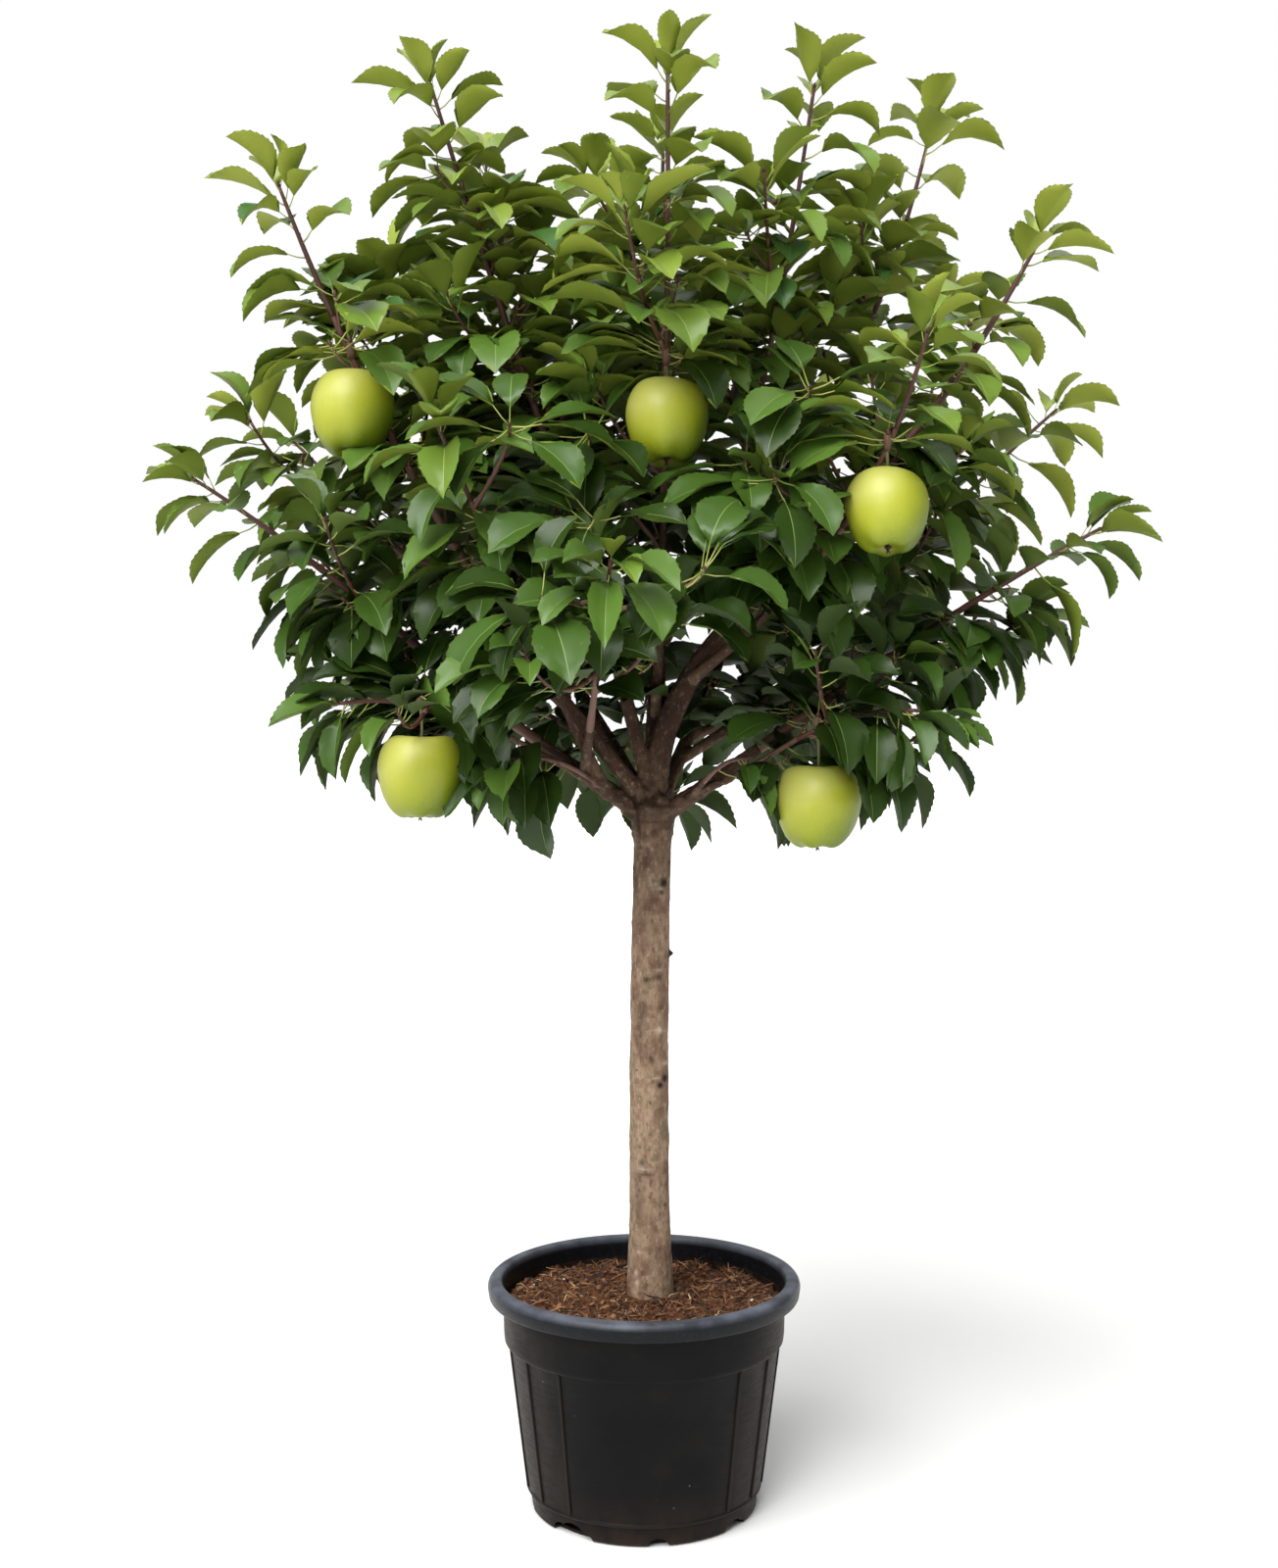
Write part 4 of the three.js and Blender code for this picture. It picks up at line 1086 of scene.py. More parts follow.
def leaf_plan():
    """Corners of one blade, which of them lie on its margin, its faces and the part that each belongs to."""
    corners, margin, faces, parts = [], [], [], []

    def corner(way, share, offset=0, lift=0, on_margin=False):
        corners.append((way, share, offset, lift))
        margin.append(on_margin)
        return len(corners) - 1

    def face(indices, side, part):
        kept = [i for n, i in enumerate(indices) if i not in indices[:n]]
        if len(kept) > 2:
            faces.append(kept if side > 0 else kept[::-1])
            parts.append(part)

    ways = [row / BLADE_ROWS for row in range(BLADE_ROWS)]
    tip = corner(1, 0, on_margin=True)
    keel = [corner(way, 0, 0, -UNDER_DEPTH * (1 - RIB_TAPER * way)) for way in ways] + [tip]
    ribs = {}
    for side in (-1, 1):
        offsets = [side * RIB_HALF_WIDTH * (1 - RIB_TAPER * way) for way in ways]
        ribs[side] = [corner(way, 0, offset, RIB_LIFT) for way, offset in zip(ways, offsets)] + [tip]
    for side in (-1, 1):
        rib, middle, below, edge = ribs[side], [ribs[side][0]], [keel[0]], []
        for row, way in enumerate(ways[1:]):
            middle.append(corner(way, side * VEIN_SHARE, 0, PILLOW * (row % 2 == (side > 0))))
            below.append(corner(way, side * EDGE_SHARE, 0, -UNDER_EDGE))
        middle.append(tip)
        below.append(tip)
        for row, way in enumerate(ways):
            line = [rib[0] if row == 0 else corner(way, side, side * TOOTH, 0, True)]
            for place, tooth in zip(TOOTH_PLACES, TOOTH_SIDES):
                depth = 0 if row == 0 and place < 0.5 else tooth * TOOTH
                line.append(corner(way + place / BLADE_ROWS, side, side * depth, 0, True))
            edge.append(line)
        edge.append([tip])
        for row in range(BLADE_ROWS):
            border = [*edge[row], edge[row + 1][0]]
            face([rib[row], middle[row], middle[row + 1], rib[row + 1]], side, UPPER)
            face([middle[row], *border, middle[row + 1]], side, UPPER)
            face([keel[row], keel[row + 1], below[row + 1], below[row]], side, UNDER)
            face([below[row], below[row + 1], *border[::-1]], side, UNDER)
    for row in range(BLADE_ROWS):
        face([ribs[1][row], ribs[1][row + 1], ribs[-1][row + 1], ribs[-1][row]], 1, MIDRIB)
    face([ribs[1][0], ribs[-1][0], keel[0]], 1, UNDER)
    return np.array(corners), np.array(margin), faces, parts


# The outline of an apple leaf: way along the blade and share of its half-width.
OUTLINE_WAYS = (0, 0.03, 0.1, 0.2, 0.32, 0.44, 0.56, 0.68, 0.79, 0.88, 0.95, 1)
OUTLINE_SHARES = (0, 0.22, 0.56, 0.83, 0.97, 1, 0.95, 0.81, 0.59, 0.35, 0.14, 0)
ROLL_AT_FOOT = 0.4  # share of its roll that a blade has at its foot


def half_width(way):
    return BLADE_HALF_WIDTH * np.interp(way, OUTLINE_WAYS, OUTLINE_SHARES)


def column(rows, key):
    """One value of every leaf, as an array of leaves by 1, or by 1 by 3 for a point or direction."""
    return np.array([row[key] for row in rows])[:, None]


def blade_corners(rows, plan):
    """The corners of every blade, as an array of leaves by corners by 3."""
    way, share, offset, lift = (plan[:, i][None] for i in range(4))
    pitch, droop, size, fold = (column(rows, key) for key in ("pitch", "droop", "size", "fold"))
    heading, seat = column(rows, "heading"), column(rows, "seat")
    wide = half_width(way) * column(rows, "width")
    wave = 2 * math.pi * (RIPPLES * way + column(rows, "wave")) + np.sign(share)
    ripple = RIPPLE_HEIGHT * np.abs(share) * np.sin(wave)
    way = np.minimum(way + CHEVRON * np.abs(share) * wide / BLADE_LENGTH * (1 - way), 1)
    angle = pitch - droop * way
    radius = BLADE_LENGTH * size / droop
    stalk = column(rows, "stalk")
    foot = seat + (stalk * np.cos(pitch))[..., None] * heading + (stalk * np.sin(pitch))[..., None] * UP
    forward = radius * (np.sin(pitch) - np.sin(angle))
    upward = radius * (np.cos(angle) - np.cos(pitch))
    side = np.cross(UP, heading)
    normal = np.cos(angle)[..., None] * UP - np.sin(angle)[..., None] * heading
    roll = (column(rows, "roll") * lerp(ROLL_AT_FOOT, 1, way))[..., None]
    turned_side = side * np.cos(roll) + normal * np.sin(roll)
    turned_normal = normal * np.cos(roll) - side * np.sin(roll)
    across = (share * wide + offset) * size
    raised = np.abs(across) * np.sin(fold) + (lift + ripple) * size
    return (foot + forward[..., None] * heading + upward[..., None] * UP
            + (across * np.cos(fold))[..., None] * turned_side + raised[..., None] * turned_normal)


PETIOLE_SIDES = 3
PETIOLE_RINGS = 2
PETIOLE_ENDS = (-0.08, 1.04)  # it starts inside its shoot and ends inside its blade
PETIOLE_SAG = 1.4
PETIOLE_TAPER = (1.35, 0.9)


def petiole_corners(rows):
    """Rings of the leaf stalks from their seats to their blades, as leaves by corners by 3."""
    pitch, size, stalk = (column(rows, key) for key in ("pitch", "size", "stalk"))
    heading, seat = column(rows, "heading"), column(rows, "seat")
    along = np.repeat(np.linspace(*PETIOLE_ENDS, PETIOLE_RINGS + 1), PETIOLE_SIDES)[None]
    turn = np.tile(np.arange(PETIOLE_SIDES) * 2 * math.pi / PETIOLE_SIDES, PETIOLE_RINGS + 1)[None]
    side = np.cross(UP, heading)
    ahead = np.cos(pitch)[..., None] * heading + np.sin(pitch)[..., None] * UP
    normal = np.cross(ahead, side)
    sag = -PETIOLE_SAG * np.sin(math.pi * np.clip(along, 0, 1))
    radius = PETIOLE_RADIUS * lerp(*PETIOLE_TAPER, np.clip(along, 0, 1)) * size
    return (seat + (along * stalk)[..., None] * ahead + (sag * size)[..., None] * UP
            + (radius * np.cos(turn))[..., None] * side + (radius * np.sin(turn))[..., None] * normal)


def tube_faces(rings, sides, base=0):
    """Faces of a closed tube whose rings of corners follow each other."""
    faces = []
    for ring in range(rings - 1):
        for i in range(sides):
            a, b = ring * sides + i, ring * sides + (i + 1) % sides
            faces.append([base + a, base + b, base + b + sides, base + a + sides])
    faces.append([base + i for i in reversed(range(sides))])
    faces.append([base + (rings - 1) * sides + i for i in range(sides)])
    return faces


# Leaf colours: upper sides from the youngest to the darkest, the darker ones painted shade deep and low in
# the crown, and one bluer; undersides from a painted glow of light through them to painted shade; midribs;
# stalks.
LEAF_TONES = ("#8d9d38", "#7a9034", "#67822f", "#527129", "#3e5b1e", "#293f11", "#41652f")
UNDER_TONES = ("#949f3c", "#75852e", "#576b26", "#33451a")
SHADE_HEIGHTS = (640, 1130)
SHADE_WITHIN, SHADE_BELOW = 0.6, 0.92  # how much painted shade comes with depth in the crown, and with lowness
TONES_OF_SHADE, TONES_OF_LUCK, FIRST_TONE = 4.2, 1.8, -0.4
UNDER_TONES_OF_SHADE, FIRST_UNDER_TONE = 3.6, -0.5
# Young leaves are painted darker low down and inside the crown, as shade.
YOUNG_HEIGHTS = (800, 1090)
YOUNG_DEPTHS = (0.6, 0.95)
YOUNG_TONES_BELOW, YOUNG_TONES_WITHIN, YOUNG_TONES, YOUNG_TONES_OF_LUCK = 3.2, 2, 4, 1.5
GROWN_TONES = 4  # how many tones darker than the palest a grown leaf may be
BLUE_LUCK, BLUE_BELOW = 0.86, 4  # the luckiest leaves are bluer, except the darkest
PALE_RIBS_BELOW = 3  # leaves of the tones before this one have the paler midrib; the darker tones of painted shade have the darker one
STALK_LUCK = 1.999  # just under the number of tones of stalks
TOP_REGION, FRONT_REGION = 1250, -200
RIB_TONES = ("#94a854", "#6d8841")
STALK_TONES = ("#a7ac5c", "#8f9a4a")


def leaf_materials():
    """Leaf blades: waxy above, duller and paler below. Each tone is dealt out leaf by leaf."""
    return [
        *tone_materials("leaf_upper", LEAF_TONES, 0.36, 0.48, 0.03),
        *tone_materials("leaf_under", UNDER_TONES, 0.62, 0.25),
        *tone_materials("leaf_midrib", RIB_TONES, 0.5),
        *tone_materials("leaf_stalk", STALK_TONES, 0.5),
    ]


def painted_leaf_shade(pose):
    """How much painted shade a leaf's colour gets, more deep in the crown and low down, from 0 to 1."""
    depth = 1 - np.linalg.norm(outward(pose["seat"]))
    low = 1 - smoothstep(pose["seat"][2], *SHADE_HEIGHTS)
    return float(np.clip(SHADE_WITHIN * depth + SHADE_BELOW * low, 0, 1))


def leaf_tone(pose):
    """The number of a leaf's tone: pale for the young leaves at the tips of high shoots, darker low down and
    deep in the crown as painted shade, and open rosette leaves one tone darker.
    """
    luck = pose["luck"]
    if pose["grade"] == "young":
        inside = 1 - smoothstep(np.linalg.norm(outward(pose["seat"])), *YOUNG_DEPTHS)
        low = 1 - smoothstep(pose["seat"][2], *YOUNG_HEIGHTS)
        darker = min(YOUNG_TONES_BELOW * low + YOUNG_TONES_WITHIN * inside, YOUNG_TONES)
        return int(darker + YOUNG_TONES_OF_LUCK * luck)
    darker = TONES_OF_SHADE * painted_leaf_shade(pose) + TONES_OF_LUCK * luck + FIRST_TONE + (pose["grade"] == "open")
    tone = 1 + int(np.clip(round(darker), 0, GROWN_TONES))
    return len(LEAF_TONES) - 1 if luck > BLUE_LUCK and tone < BLUE_BELOW else tone


def under_tone(pose):
    """The number of the tone of a leaf's underside: paler as a painted glow of light shining through it,
    darker with the painted shade of the crown, shifted at random.
    """
    darker = UNDER_TONES_OF_SHADE * painted_leaf_shade(pose) + pose["wave"] + FIRST_UNDER_TONE
    return int(np.clip(round(darker), 0, len(UNDER_TONES) - 1))


def region_of(limb):
    """The part of the crown that a limb's leaves are joined with."""
    tip = limb.curve.at(1)
    side = "left" if tip[0] < 0 else "right"
    if "rear" in limb.name:
        return "rear_" + side
    if tip[2] > TOP_REGION:
        return "top_" + side
    return "front" if tip[1] < FRONT_REGION else side


def make_leaves(rows):
    """The leaves of each region as one piece."""
    materials = leaf_materials()
    plan, margin, plan_faces, parts = leaf_plan()
    stalk_faces = tube_faces(PETIOLE_RINGS + 1, PETIOLE_SIDES, len(plan))
    faces_of_one = plan_faces + stalk_faces
    size = len(plan) + PETIOLE_SIDES * (PETIOLE_RINGS + 1)
    sharp_of_one = np.concatenate([margin, np.zeros(size - len(plan), dtype=bool)])
    regions = {}
    for row in rows:
        regions.setdefault(region_of(row["limb"]), []).append(row)
    for region, members in sorted(regions.items()):
        corners = np.concatenate([blade_corners(members, plan), petiole_corners(members)], axis=1)
        faces, indices = [], []
        for n, row in enumerate(members):
            faces += [[n * size + i for i in face] for face in faces_of_one]
            tone = leaf_tone(row)
            under = len(LEAF_TONES) + under_tone(row)
            rib = len(LEAF_TONES) + len(UNDER_TONES) + (tone >= PALE_RIBS_BELOW)
            stalk = len(materials) - 1 - int(row["luck"] * STALK_LUCK)
            indices += [(tone, under, rib)[part] for part in parts] + [stalk] * len(stalk_faces)
        piece = mesh_piece("leaves_" + region, corners.reshape(-1, 3), faces, materials, indices,
                           np.tile(sharp_of_one, len(members)))
        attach(piece, "root")
        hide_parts(*sorted({"foliage_" + row["limb"].name for row in members}))


# ---- twigs

def tube(curve, start, end, radius_at, sides, step, wobble=0.0, key=0):
    """Rings of corners along a stretch of a curve, one for each step, with the faces between them."""
    rings = max(2, math.ceil(curve.length * (end - start) / step)) + 1
    shares = np.linspace(start, end, rings)
    points = curve.at(shares)
    tangents = np.gradient(points, axis=0)
    side = square_to(tangents[0])
    corners = []
    for n, (point, tangent) in enumerate(zip(points, tangents)):
        tangent = unit(tangent)
        side = unit(side - tangent * side.dot(tangent))
        other = np.cross(tangent, side)
        radius = radius_at(shares[n]) * (1 + wobble * (chance(key, n) - 0.5))
        for i in range(sides):
            turn = 2 * math.pi * i / sides
            corners.append(point + radius * (side * math.cos(turn) + other * math.sin(turn)))
    return np.array(corners), tube_faces(rings, sides)


# Tones of old wood, of young wood, of the tips and of the apples' stalks.
TWIG_TONES = ("#6b4c3d", "#593529", "#4c2b24", "#66663a")
OLD, YOUNG, NEW, STALK = range(4)
OLD_SHARE_OF_STEM, OLD_SHARE_OF_SHOOT, YOUNG_SHARE = 0.35, 0.15, 0.55
STEM_OVERLAP = 0.01  # how far a stem starts inside its bough
SHOOT_TUBE = {"sides": 7, "step": 9, "wobble": 0.16}
SPUR_TUBE = {"sides": 6, "step": 6, "wobble": 0.5}
SPUR_TUBE_KEY = 500
BUD_LENGTH = 6.5
BUD_RADIUS = 2.1
BUD_SIDES = 4
BUD_RINGS = ((0, 0.7), (0.4, 1), (0.95, 0.2))  # place along the bud and share of its radius
TIP_BUD, SIDE_BUD, SPUR_BUD = 0.9, 0.55, 1.1  # sizes
SIDE_BUD_ANGLE = 34
SIDE_BUD_PLACE = 0.9  # along the step between two leaves
SIDE_BUD_OUT = 0.6  # share of the shoot's radius
SPUR_BUD_SEAT = 0.98


def bud_corners(foot, direction, size):
    """A plump pointed bud: a seat, a swollen ring and a tip."""
    side = square_to(direction)
    other = np.cross(direction, side)
    corners = []
    for along, radius in BUD_RINGS:
        for i in range(BUD_SIDES):
            turn = 2 * math.pi * i / BUD_SIDES
            ring = (side * math.cos(turn) + other * math.sin(turn)) * radius * BUD_RADIUS
            corners.append(foot + (direction * along * BUD_LENGTH + ring) * size)
    return np.array(corners), tube_faces(len(BUD_RINGS), BUD_SIDES)


def add_shoot(twigs, shoot, key):
    """A shoot in three tones, with the bud at its tip and those at its leaves."""
    is_stem = shoot.number == 0
    start = shoot.start / shoot.length
    old = start + (1 - start) * (OLD_SHARE_OF_STEM if is_stem else OLD_SHARE_OF_SHOOT)
    young = lerp(old, 1, YOUNG_SHARE)
    for tone, (first, last) in enumerate(((start - STEM_OVERLAP * is_stem, old), (old, young), (young, 1))):
        twigs.add(tube(shoot.curve, first, last, shoot.radius, key=key, **SHOOT_TUBE), tone)
    twigs.add(bud_corners(shoot.curve.at(1), shoot.curve.tangent(1), TIP_BUD), NEW)
    for i in range(int((shoot.length - shoot.start - LEAF_STEP) // LEAF_STEP)):
        way = 1 - LEAF_STEP * (i + SIDE_BUD_PLACE) / shoot.length
        turn = i * GOLDEN_TURN + shoot.number * SHOOT_TURN
        away = branch_direction(shoot.curve.tangent(way), SIDE_BUD_ANGLE, turn)
        foot = shoot.curve.at(way) + away * shoot.radius(way) * SIDE_BUD_OUT
        twigs.add(bud_corners(foot, away, SIDE_BUD), YOUNG)


def make_twigs(shoots, spurs):
    """Stems, side shoots, spurs and buds, redder towards the young tips, and the apples' stalks."""
    twigs = Gathered()
    for n, shoot in enumerate(shoots):
        add_shoot(twigs, shoot, n)
    for n, spur in enumerate(spurs, SPUR_TUBE_KEY):
        twigs.add(tube(spur.curve, 0, 1, spur.radius, key=n, **SPUR_TUBE), OLD)
        twigs.add(bud_corners(spur.curve.at(SPUR_BUD_SEAT), spur.curve.tangent(1), SPUR_BUD), YOUNG)
    for limb in LIMBS:
        if limb.fruit:
            twigs.add(stalk_tube(limb.fruit), STALK)
    piece = twigs.piece("twigs", tone_materials("young_bark", TWIG_TONES, 0.6))
    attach(piece, "root")


# ---- trunk and boughs

BARK_VOXEL = 1.7
# Marks on the trunk: height, azimuth, half-width, half-height, how far it stands out, and how dark it is
# (below 0: how pale).
MARKS = (
    (654, 268, 24, 1.3, -0.7, 0.6), (647, 300, 9, 1.2, -0.4, 0.45), (640, 250, 8, 1.0, -0.3, 0.35),
    (655, 228, 2.2, 19, -1.6, 0.9), (659, 196, 6, 5, 2.6, 0.9), (640, 188, 3, 4, 1.4, 0.8),
    (662, 292, 4, 3, 1.2, 0.5), (668, 306, 3.5, 3, 1.2, 0.6), (656, 318, 3, 4, 1.0, 0.7),
    (597, 279, 5.5, 4.2, 1.0, -0.2), (597, 277, 2.4, 1.8, -0.8, 0.6), (597, 290, 2, 1.7, -0.7, 0.6),
    (595, 312, 4, 3.6, -0.4, 1.2), (590, 300, 6, 1.3, 0.7, -0.5), (586, 304, 2.4, 1.8, -0.5, 0.85),
    (526, 356, 2.4, 2.4, 4.2, 2), (512, 300, 4, 1.6, 0.9, -0.5), (505, 291, 6, 1.8, -0.6, 0.7),
    (503, 258, 2.6, 2.2, -0.5, 0.75), (491, 257, 2.2, 2.0, -0.5, 0.6), (463, 243, 5, 15, 0.4, 0.55),
    (427, 276, 2.4, 3, -0.6, 0.65), (409, 292, 5, 1.4, 0.9, -0.5), (408, 322, 3.2, 2.6, 1.6, 1.3),
    (402, 303, 3, 2.4, 1.2, 1.2), (355, 273, 2.2, 1.8, -0.5, 0.5), (327, 250, 5.5, 4.4, 1.2, -0.2),
    (328, 249, 3, 2.2, -1.0, 0.75), (322, 253, 6, 1.6, 1.5, -0.5), (317, 256, 7, 1.3, -0.6, 0.8),
    (296, 240, 5, 22, 0.3, 0.4), (246, 262, 9, 1.0, -0.5, 0.35), (223, 232, 1.8, 2.6, 0.4, -0.8),
    (214, 236, 1.6, 2.2, 0.4, -0.8), (560, 262, 6, 15, 0.3, 0.25), (380, 300, 4, 17, 0.3, 0.25),
)
SCATTERED_MARKS = 26  # more marks, round the sides and back
# Least and most of each of their measures.
SCATTERED_RANGES = (
    (TRUNK_LOW.z + 15, TRUNK_HIGH.z - 15), (-75, 215), (1.6, 8), (1, 4), (-0.6, 1.4), (-0.8, 0.9))
SCATTERED_KEY = 61
MARKED_ABOVE, MARKED_AROUND = 4, 12  # how far past the trunk's head and its foot's radius the marks reach
TRUNK_TUBE = {"sides": 24, "step": 9}
BOUGH_TUBE = {"sides": 14, "step": 6}
BOUGH_OVERLAP = 0.004  # how far a bough reaches into its stem
KNOBS = 14  # knots of old pruning cuts about the head
KNOB_RADIUS = (4.5, 7.5)
KNOB_DEPTHS = (2, 40)  # below the top of the head
KNOB_SINK = 3
# Youth of the head and of the boughs: it turns their bark to the redder young tones, and in step with it the
# bark is painted darker, as shade under the crown.
HEAD_YOUTH = 0.6
HEAD_YOUTH_LENGTH = 150
BOUGH_YOUTH, BOUGH_YOUTH_LENGTH = 0.35, 90
PAINTED_BARK_SHADE = 0.52  # painted shade: how much darker the bark of the head and the boughs inside the crown is painted
AXIS_STEP = 3  # between the samples of a limb's axis
NEAR_SAMPLES = 6
PATTERN_SHIFT = 900  # keeps the patterns of two limbs apart
# Relief of the bark: width and length of its waves and shift of its pattern.
RIDGES, RIDGE_HEIGHT = (5, 18, 0), 0.6
LUMPS, LUMP_HEIGHT = (16, 40, 7), 0.55
WRINKLES, WRINKLE_WIDTH, WRINKLE_DEPTH = (8, 3, 40), 0.1, 0.4
SMOOTH_YOUTH = 0.5  # how much of the ridges and lumps young wood loses
# Crevices in the head: how far they reach up and down, their width, depth and the painted shade in them.
CREVICE_REACH, CREVICE_WIDTH, CREVICE_DEPTH, CREVICE_SHADE = 26, 6, 2, 0.75
CREVICE_EDGE = (-0.05, -0.4)
PLAIN_FOOT = 3  # height of the trunk's foot that has no relief, so that it meets the soil flat


def add_knobs(piece):
    """Adds balls to the head, for knots of old pruning cuts."""
    work = bmesh.new()
    work.from_mesh(piece.data)
    for n in range(KNOBS):
        azimuth = spread((0, 360), n, 31)
        height = TRUNK_HIGH.z - spread(KNOB_DEPTHS, n, 32)
        way = (height - TRUNK_LOW.z) / TRUNK_LENGTH
        centre = trunk_point(way) + polar(azimuth, trunk_radius(way) - KNOB_SINK, 0)
        bmesh.ops.create_icosphere(work, subdivisions=2, radius=spread(KNOB_RADIUS, n, 33) * MM,
                                   matrix=Matrix.Translation(Vector(centre) * MM))
    work.to_mesh(piece.data)
    work.free()


def wood_shell():
    """Trunk, boughs and the knots of the head as overlapping closed shapes, joined by one voxel remesh."""
    wood = Gathered()
    wood.add(tube(Trunk.curve, 0, 1, trunk_radius, **TRUNK_TUBE))
    for limb in LIMBS:
        wood.add(tube(limb.curve, 0, limb.to + BOUGH_OVERLAP,
                      lambda share: limb.bough_radius(share / limb.to), **BOUGH_TUBE))
    piece = wood.piece("trunk_and_boughs", [bark_material()])
    add_knobs(piece)
    remesh = piece.modifiers.new("join", "REMESH")
    remesh.mode = "VOXEL"
    remesh.voxel_size = BARK_VOXEL * MM
    smooth = piece.modifiers.new("heal", "SMOOTH")
    smooth.factor = 0.5
    smooth.iterations = 5
    apply_modifiers(piece)
    return piece


def axis_samples(wood):
    """Points along the axes of the limbs, each with the limb's number, the share there and the radius."""
    samples = []
    for number, (curve, start, end, radius_at, _) in enumerate(wood):
        along = np.linspace(0, 1, math.ceil(curve.length * (end - start) / AXIS_STEP) + 1)
        shares = lerp(start, end, along)
        for point, share, way in zip(curve.at(shares), shares, along):
            samples.append((point, number, share, radius_at(way)))
    return samples


def bark_places(points):
    """For each point of the wood: its place round and along its limb, its youth, and the way outwards."""
    wood = [(Trunk.curve, 0, 1, trunk_radius, TRUNK_LOW_RADIUS)]
    wood += [(limb.curve, 0, limb.to, limb.bough_radius, limb.radius) for limb in LIMBS]
    samples = axis_samples(wood)
    tree = tree_of([sample[0] for sample in samples])
    places, youths, outs = [], [], []
    for point in points:
        near = [(distance - samples[i][3], i) for _, i, distance in tree.find_n(point, NEAR_SAMPLES)]
        centre, number, share, _ = samples[min(near)[1]]
        curve, radius = wood[number][0], wood[number][4]
        tangent = curve.tangent(share)
        out = point - centre
        out = out - tangent * out.dot(tangent)
        out = out / max(np.linalg.norm(out), 1e-6)
        side = level_direction(np.cross(tangent, UP)) if number else ACROSS
        other = np.cross(tangent, side)
        along = share * curve.length
        places.append((radius * out.dot(side), radius * out.dot(other), along + PATTERN_SHIFT * number))
        if number:
            youths.append(HEAD_YOUTH + BOUGH_YOUTH * smoothstep(along, 0, BOUGH_YOUTH_LENGTH))
        else:
            youths.append(HEAD_YOUTH * smoothstep(point[2], TRUNK_HIGH.z - HEAD_YOUTH_LENGTH, TRUNK_HIGH.z))
        outs.append(out)
    return np.array(places), np.array(youths), np.array(outs)


def trunk_marks(points):
    """How far each point is lifted, darkened and paled by the marks on the trunk."""
    marks = list(MARKS)
    for n in range(SCATTERED_MARKS):
        marks.append([spread(bounds, n, key) for key, bounds in enumerate(SCATTERED_RANGES, SCATTERED_KEY)])
    height = points[:, 2]
    way = np.clip((height - TRUNK_LOW.z) / TRUNK_LENGTH, 0, 1)
    centre = lerp(TRUNK_FOOT_X, TRUNK_HEAD_X, way) - TRUNK_BOW * np.sin(math.pi * way)
    turns = np.degrees(np.arctan2(points[:, 1], points[:, 0] - centre))
    reach = np.hypot(points[:, 0] - centre, points[:, 1])
    on_trunk = (height < TRUNK_HIGH.z + MARKED_ABOVE) & (reach < TRUNK_LOW_RADIUS + MARKED_AROUND)
    lifts, darks, pales = np.zeros((3, len(points)))
    for mark_height, azimuth, wide, high, out, dark in marks:
        across = np.radians((turns - azimuth + 180) % 360 - 180) * TRUNK_LOW_RADIUS
        shape = np.exp(-(across / wide) ** 2 - ((height - mark_height) / high) ** 2) * on_trunk
        lifts += out * shape
        darks = np.maximum(darks, dark * np.sqrt(shape))
        pales = np.maximum(pales, -dark * shape)
    return lifts, darks, pales


def waves(place, width, length, shift):
    x, y, z = place
    return noise.noise(Vector((x / width, y / width, z / length + shift)))


def bark_relief(place, youth):
    """How far the bark stands out at a place: ridges and lumps, cut by short wrinkles."""
    raised = RIDGE_HEIGHT * waves(place, *RIDGES) + LUMP_HEIGHT * waves(place, *LUMPS)
    cut = WRINKLE_DEPTH * max(0, WRINKLE_WIDTH - abs(waves(place, *WRINKLES))) / WRINKLE_WIDTH
    return raised * (1 - SMOOTH_YOUTH * youth) - cut


def make_wood():
    """The bark's relief stands on the joined wood: ridges, wrinkles, pruning scars and knots."""
    piece = wood_shell()
    mesh = piece.data
    flat = np.zeros(len(mesh.vertices) * 3)
    mesh.vertices.foreach_get("co", flat)
    points = flat.reshape(-1, 3) / MM
    places, youths, outs = bark_places(points)
    lifts, darks, pales = trunk_marks(points)
    lifts += [bark_relief(place, youth) for place, youth in zip(places, youths)]
    head = np.exp(-((points[:, 2] - (TRUNK_HIGH.z + 2)) / CREVICE_REACH) ** 2)
    crevice = np.array([noise.noise(Vector(point / CREVICE_WIDTH)) for point in points])
    lifts += head * CREVICE_DEPTH * crevice
    # Painted shade in the sunken crevices of the head.
    darks = np.maximum(darks, head * smoothstep(crevice, *CREVICE_EDGE) * CREVICE_SHADE)
    # Painted shade on the head and the boughs inside the crown, in step with their youth.
    darks = np.maximum(darks, PAINTED_BARK_SHADE * youths)
    lifts *= smoothstep(points[:, 2], TRUNK_LOW.z, TRUNK_LOW.z + PLAIN_FOOT)
    moved = points + outs * lifts[:, None]
    moved[:, 2] = np.maximum(moved[:, 2], TRUNK_LOW.z)
    mesh.vertices.foreach_set("co", (moved * MM).ravel())
    # Youth, dark marks together with the painted shade, and pale marks.
    marks = np.stack([youths, darks, pales], axis=1)
    for name, values in (("bark_place", places * MM), ("bark_marks", marks)):
        mesh.attributes.new(name, "FLOAT_VECTOR", "POINT").data.foreach_set("vector", values.ravel())
    mesh.shade_smooth()
    mesh.update()
    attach(piece, "root")
    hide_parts("trunk", *("bough_" + limb.name for limb in LIMBS))


# ---- apples

APPLE_LOBES = 5
# Half section of an apple from its eye to its stalk: radius and height over the half-sizes.
APPLE_SECTION = (
    (0.02, -0.86), (0.10, -0.87), (0.18, -0.92), (0.26, -0.98), (0.36, -1.0), (0.48, -0.97), (0.61, -0.87),
    (0.74, -0.71), (0.855, -0.47), (0.94, -0.18), (0.995, 0.13), (0.985, 0.36), (0.94, 0.58), (0.85, 0.77),
    (0.74, 0.91), (0.59, 0.98), (0.43, 0.98), (0.27, 0.89), (0.13, 0.77), (0.03, 0.68),
)
APPLE_SEGMENTS = 60
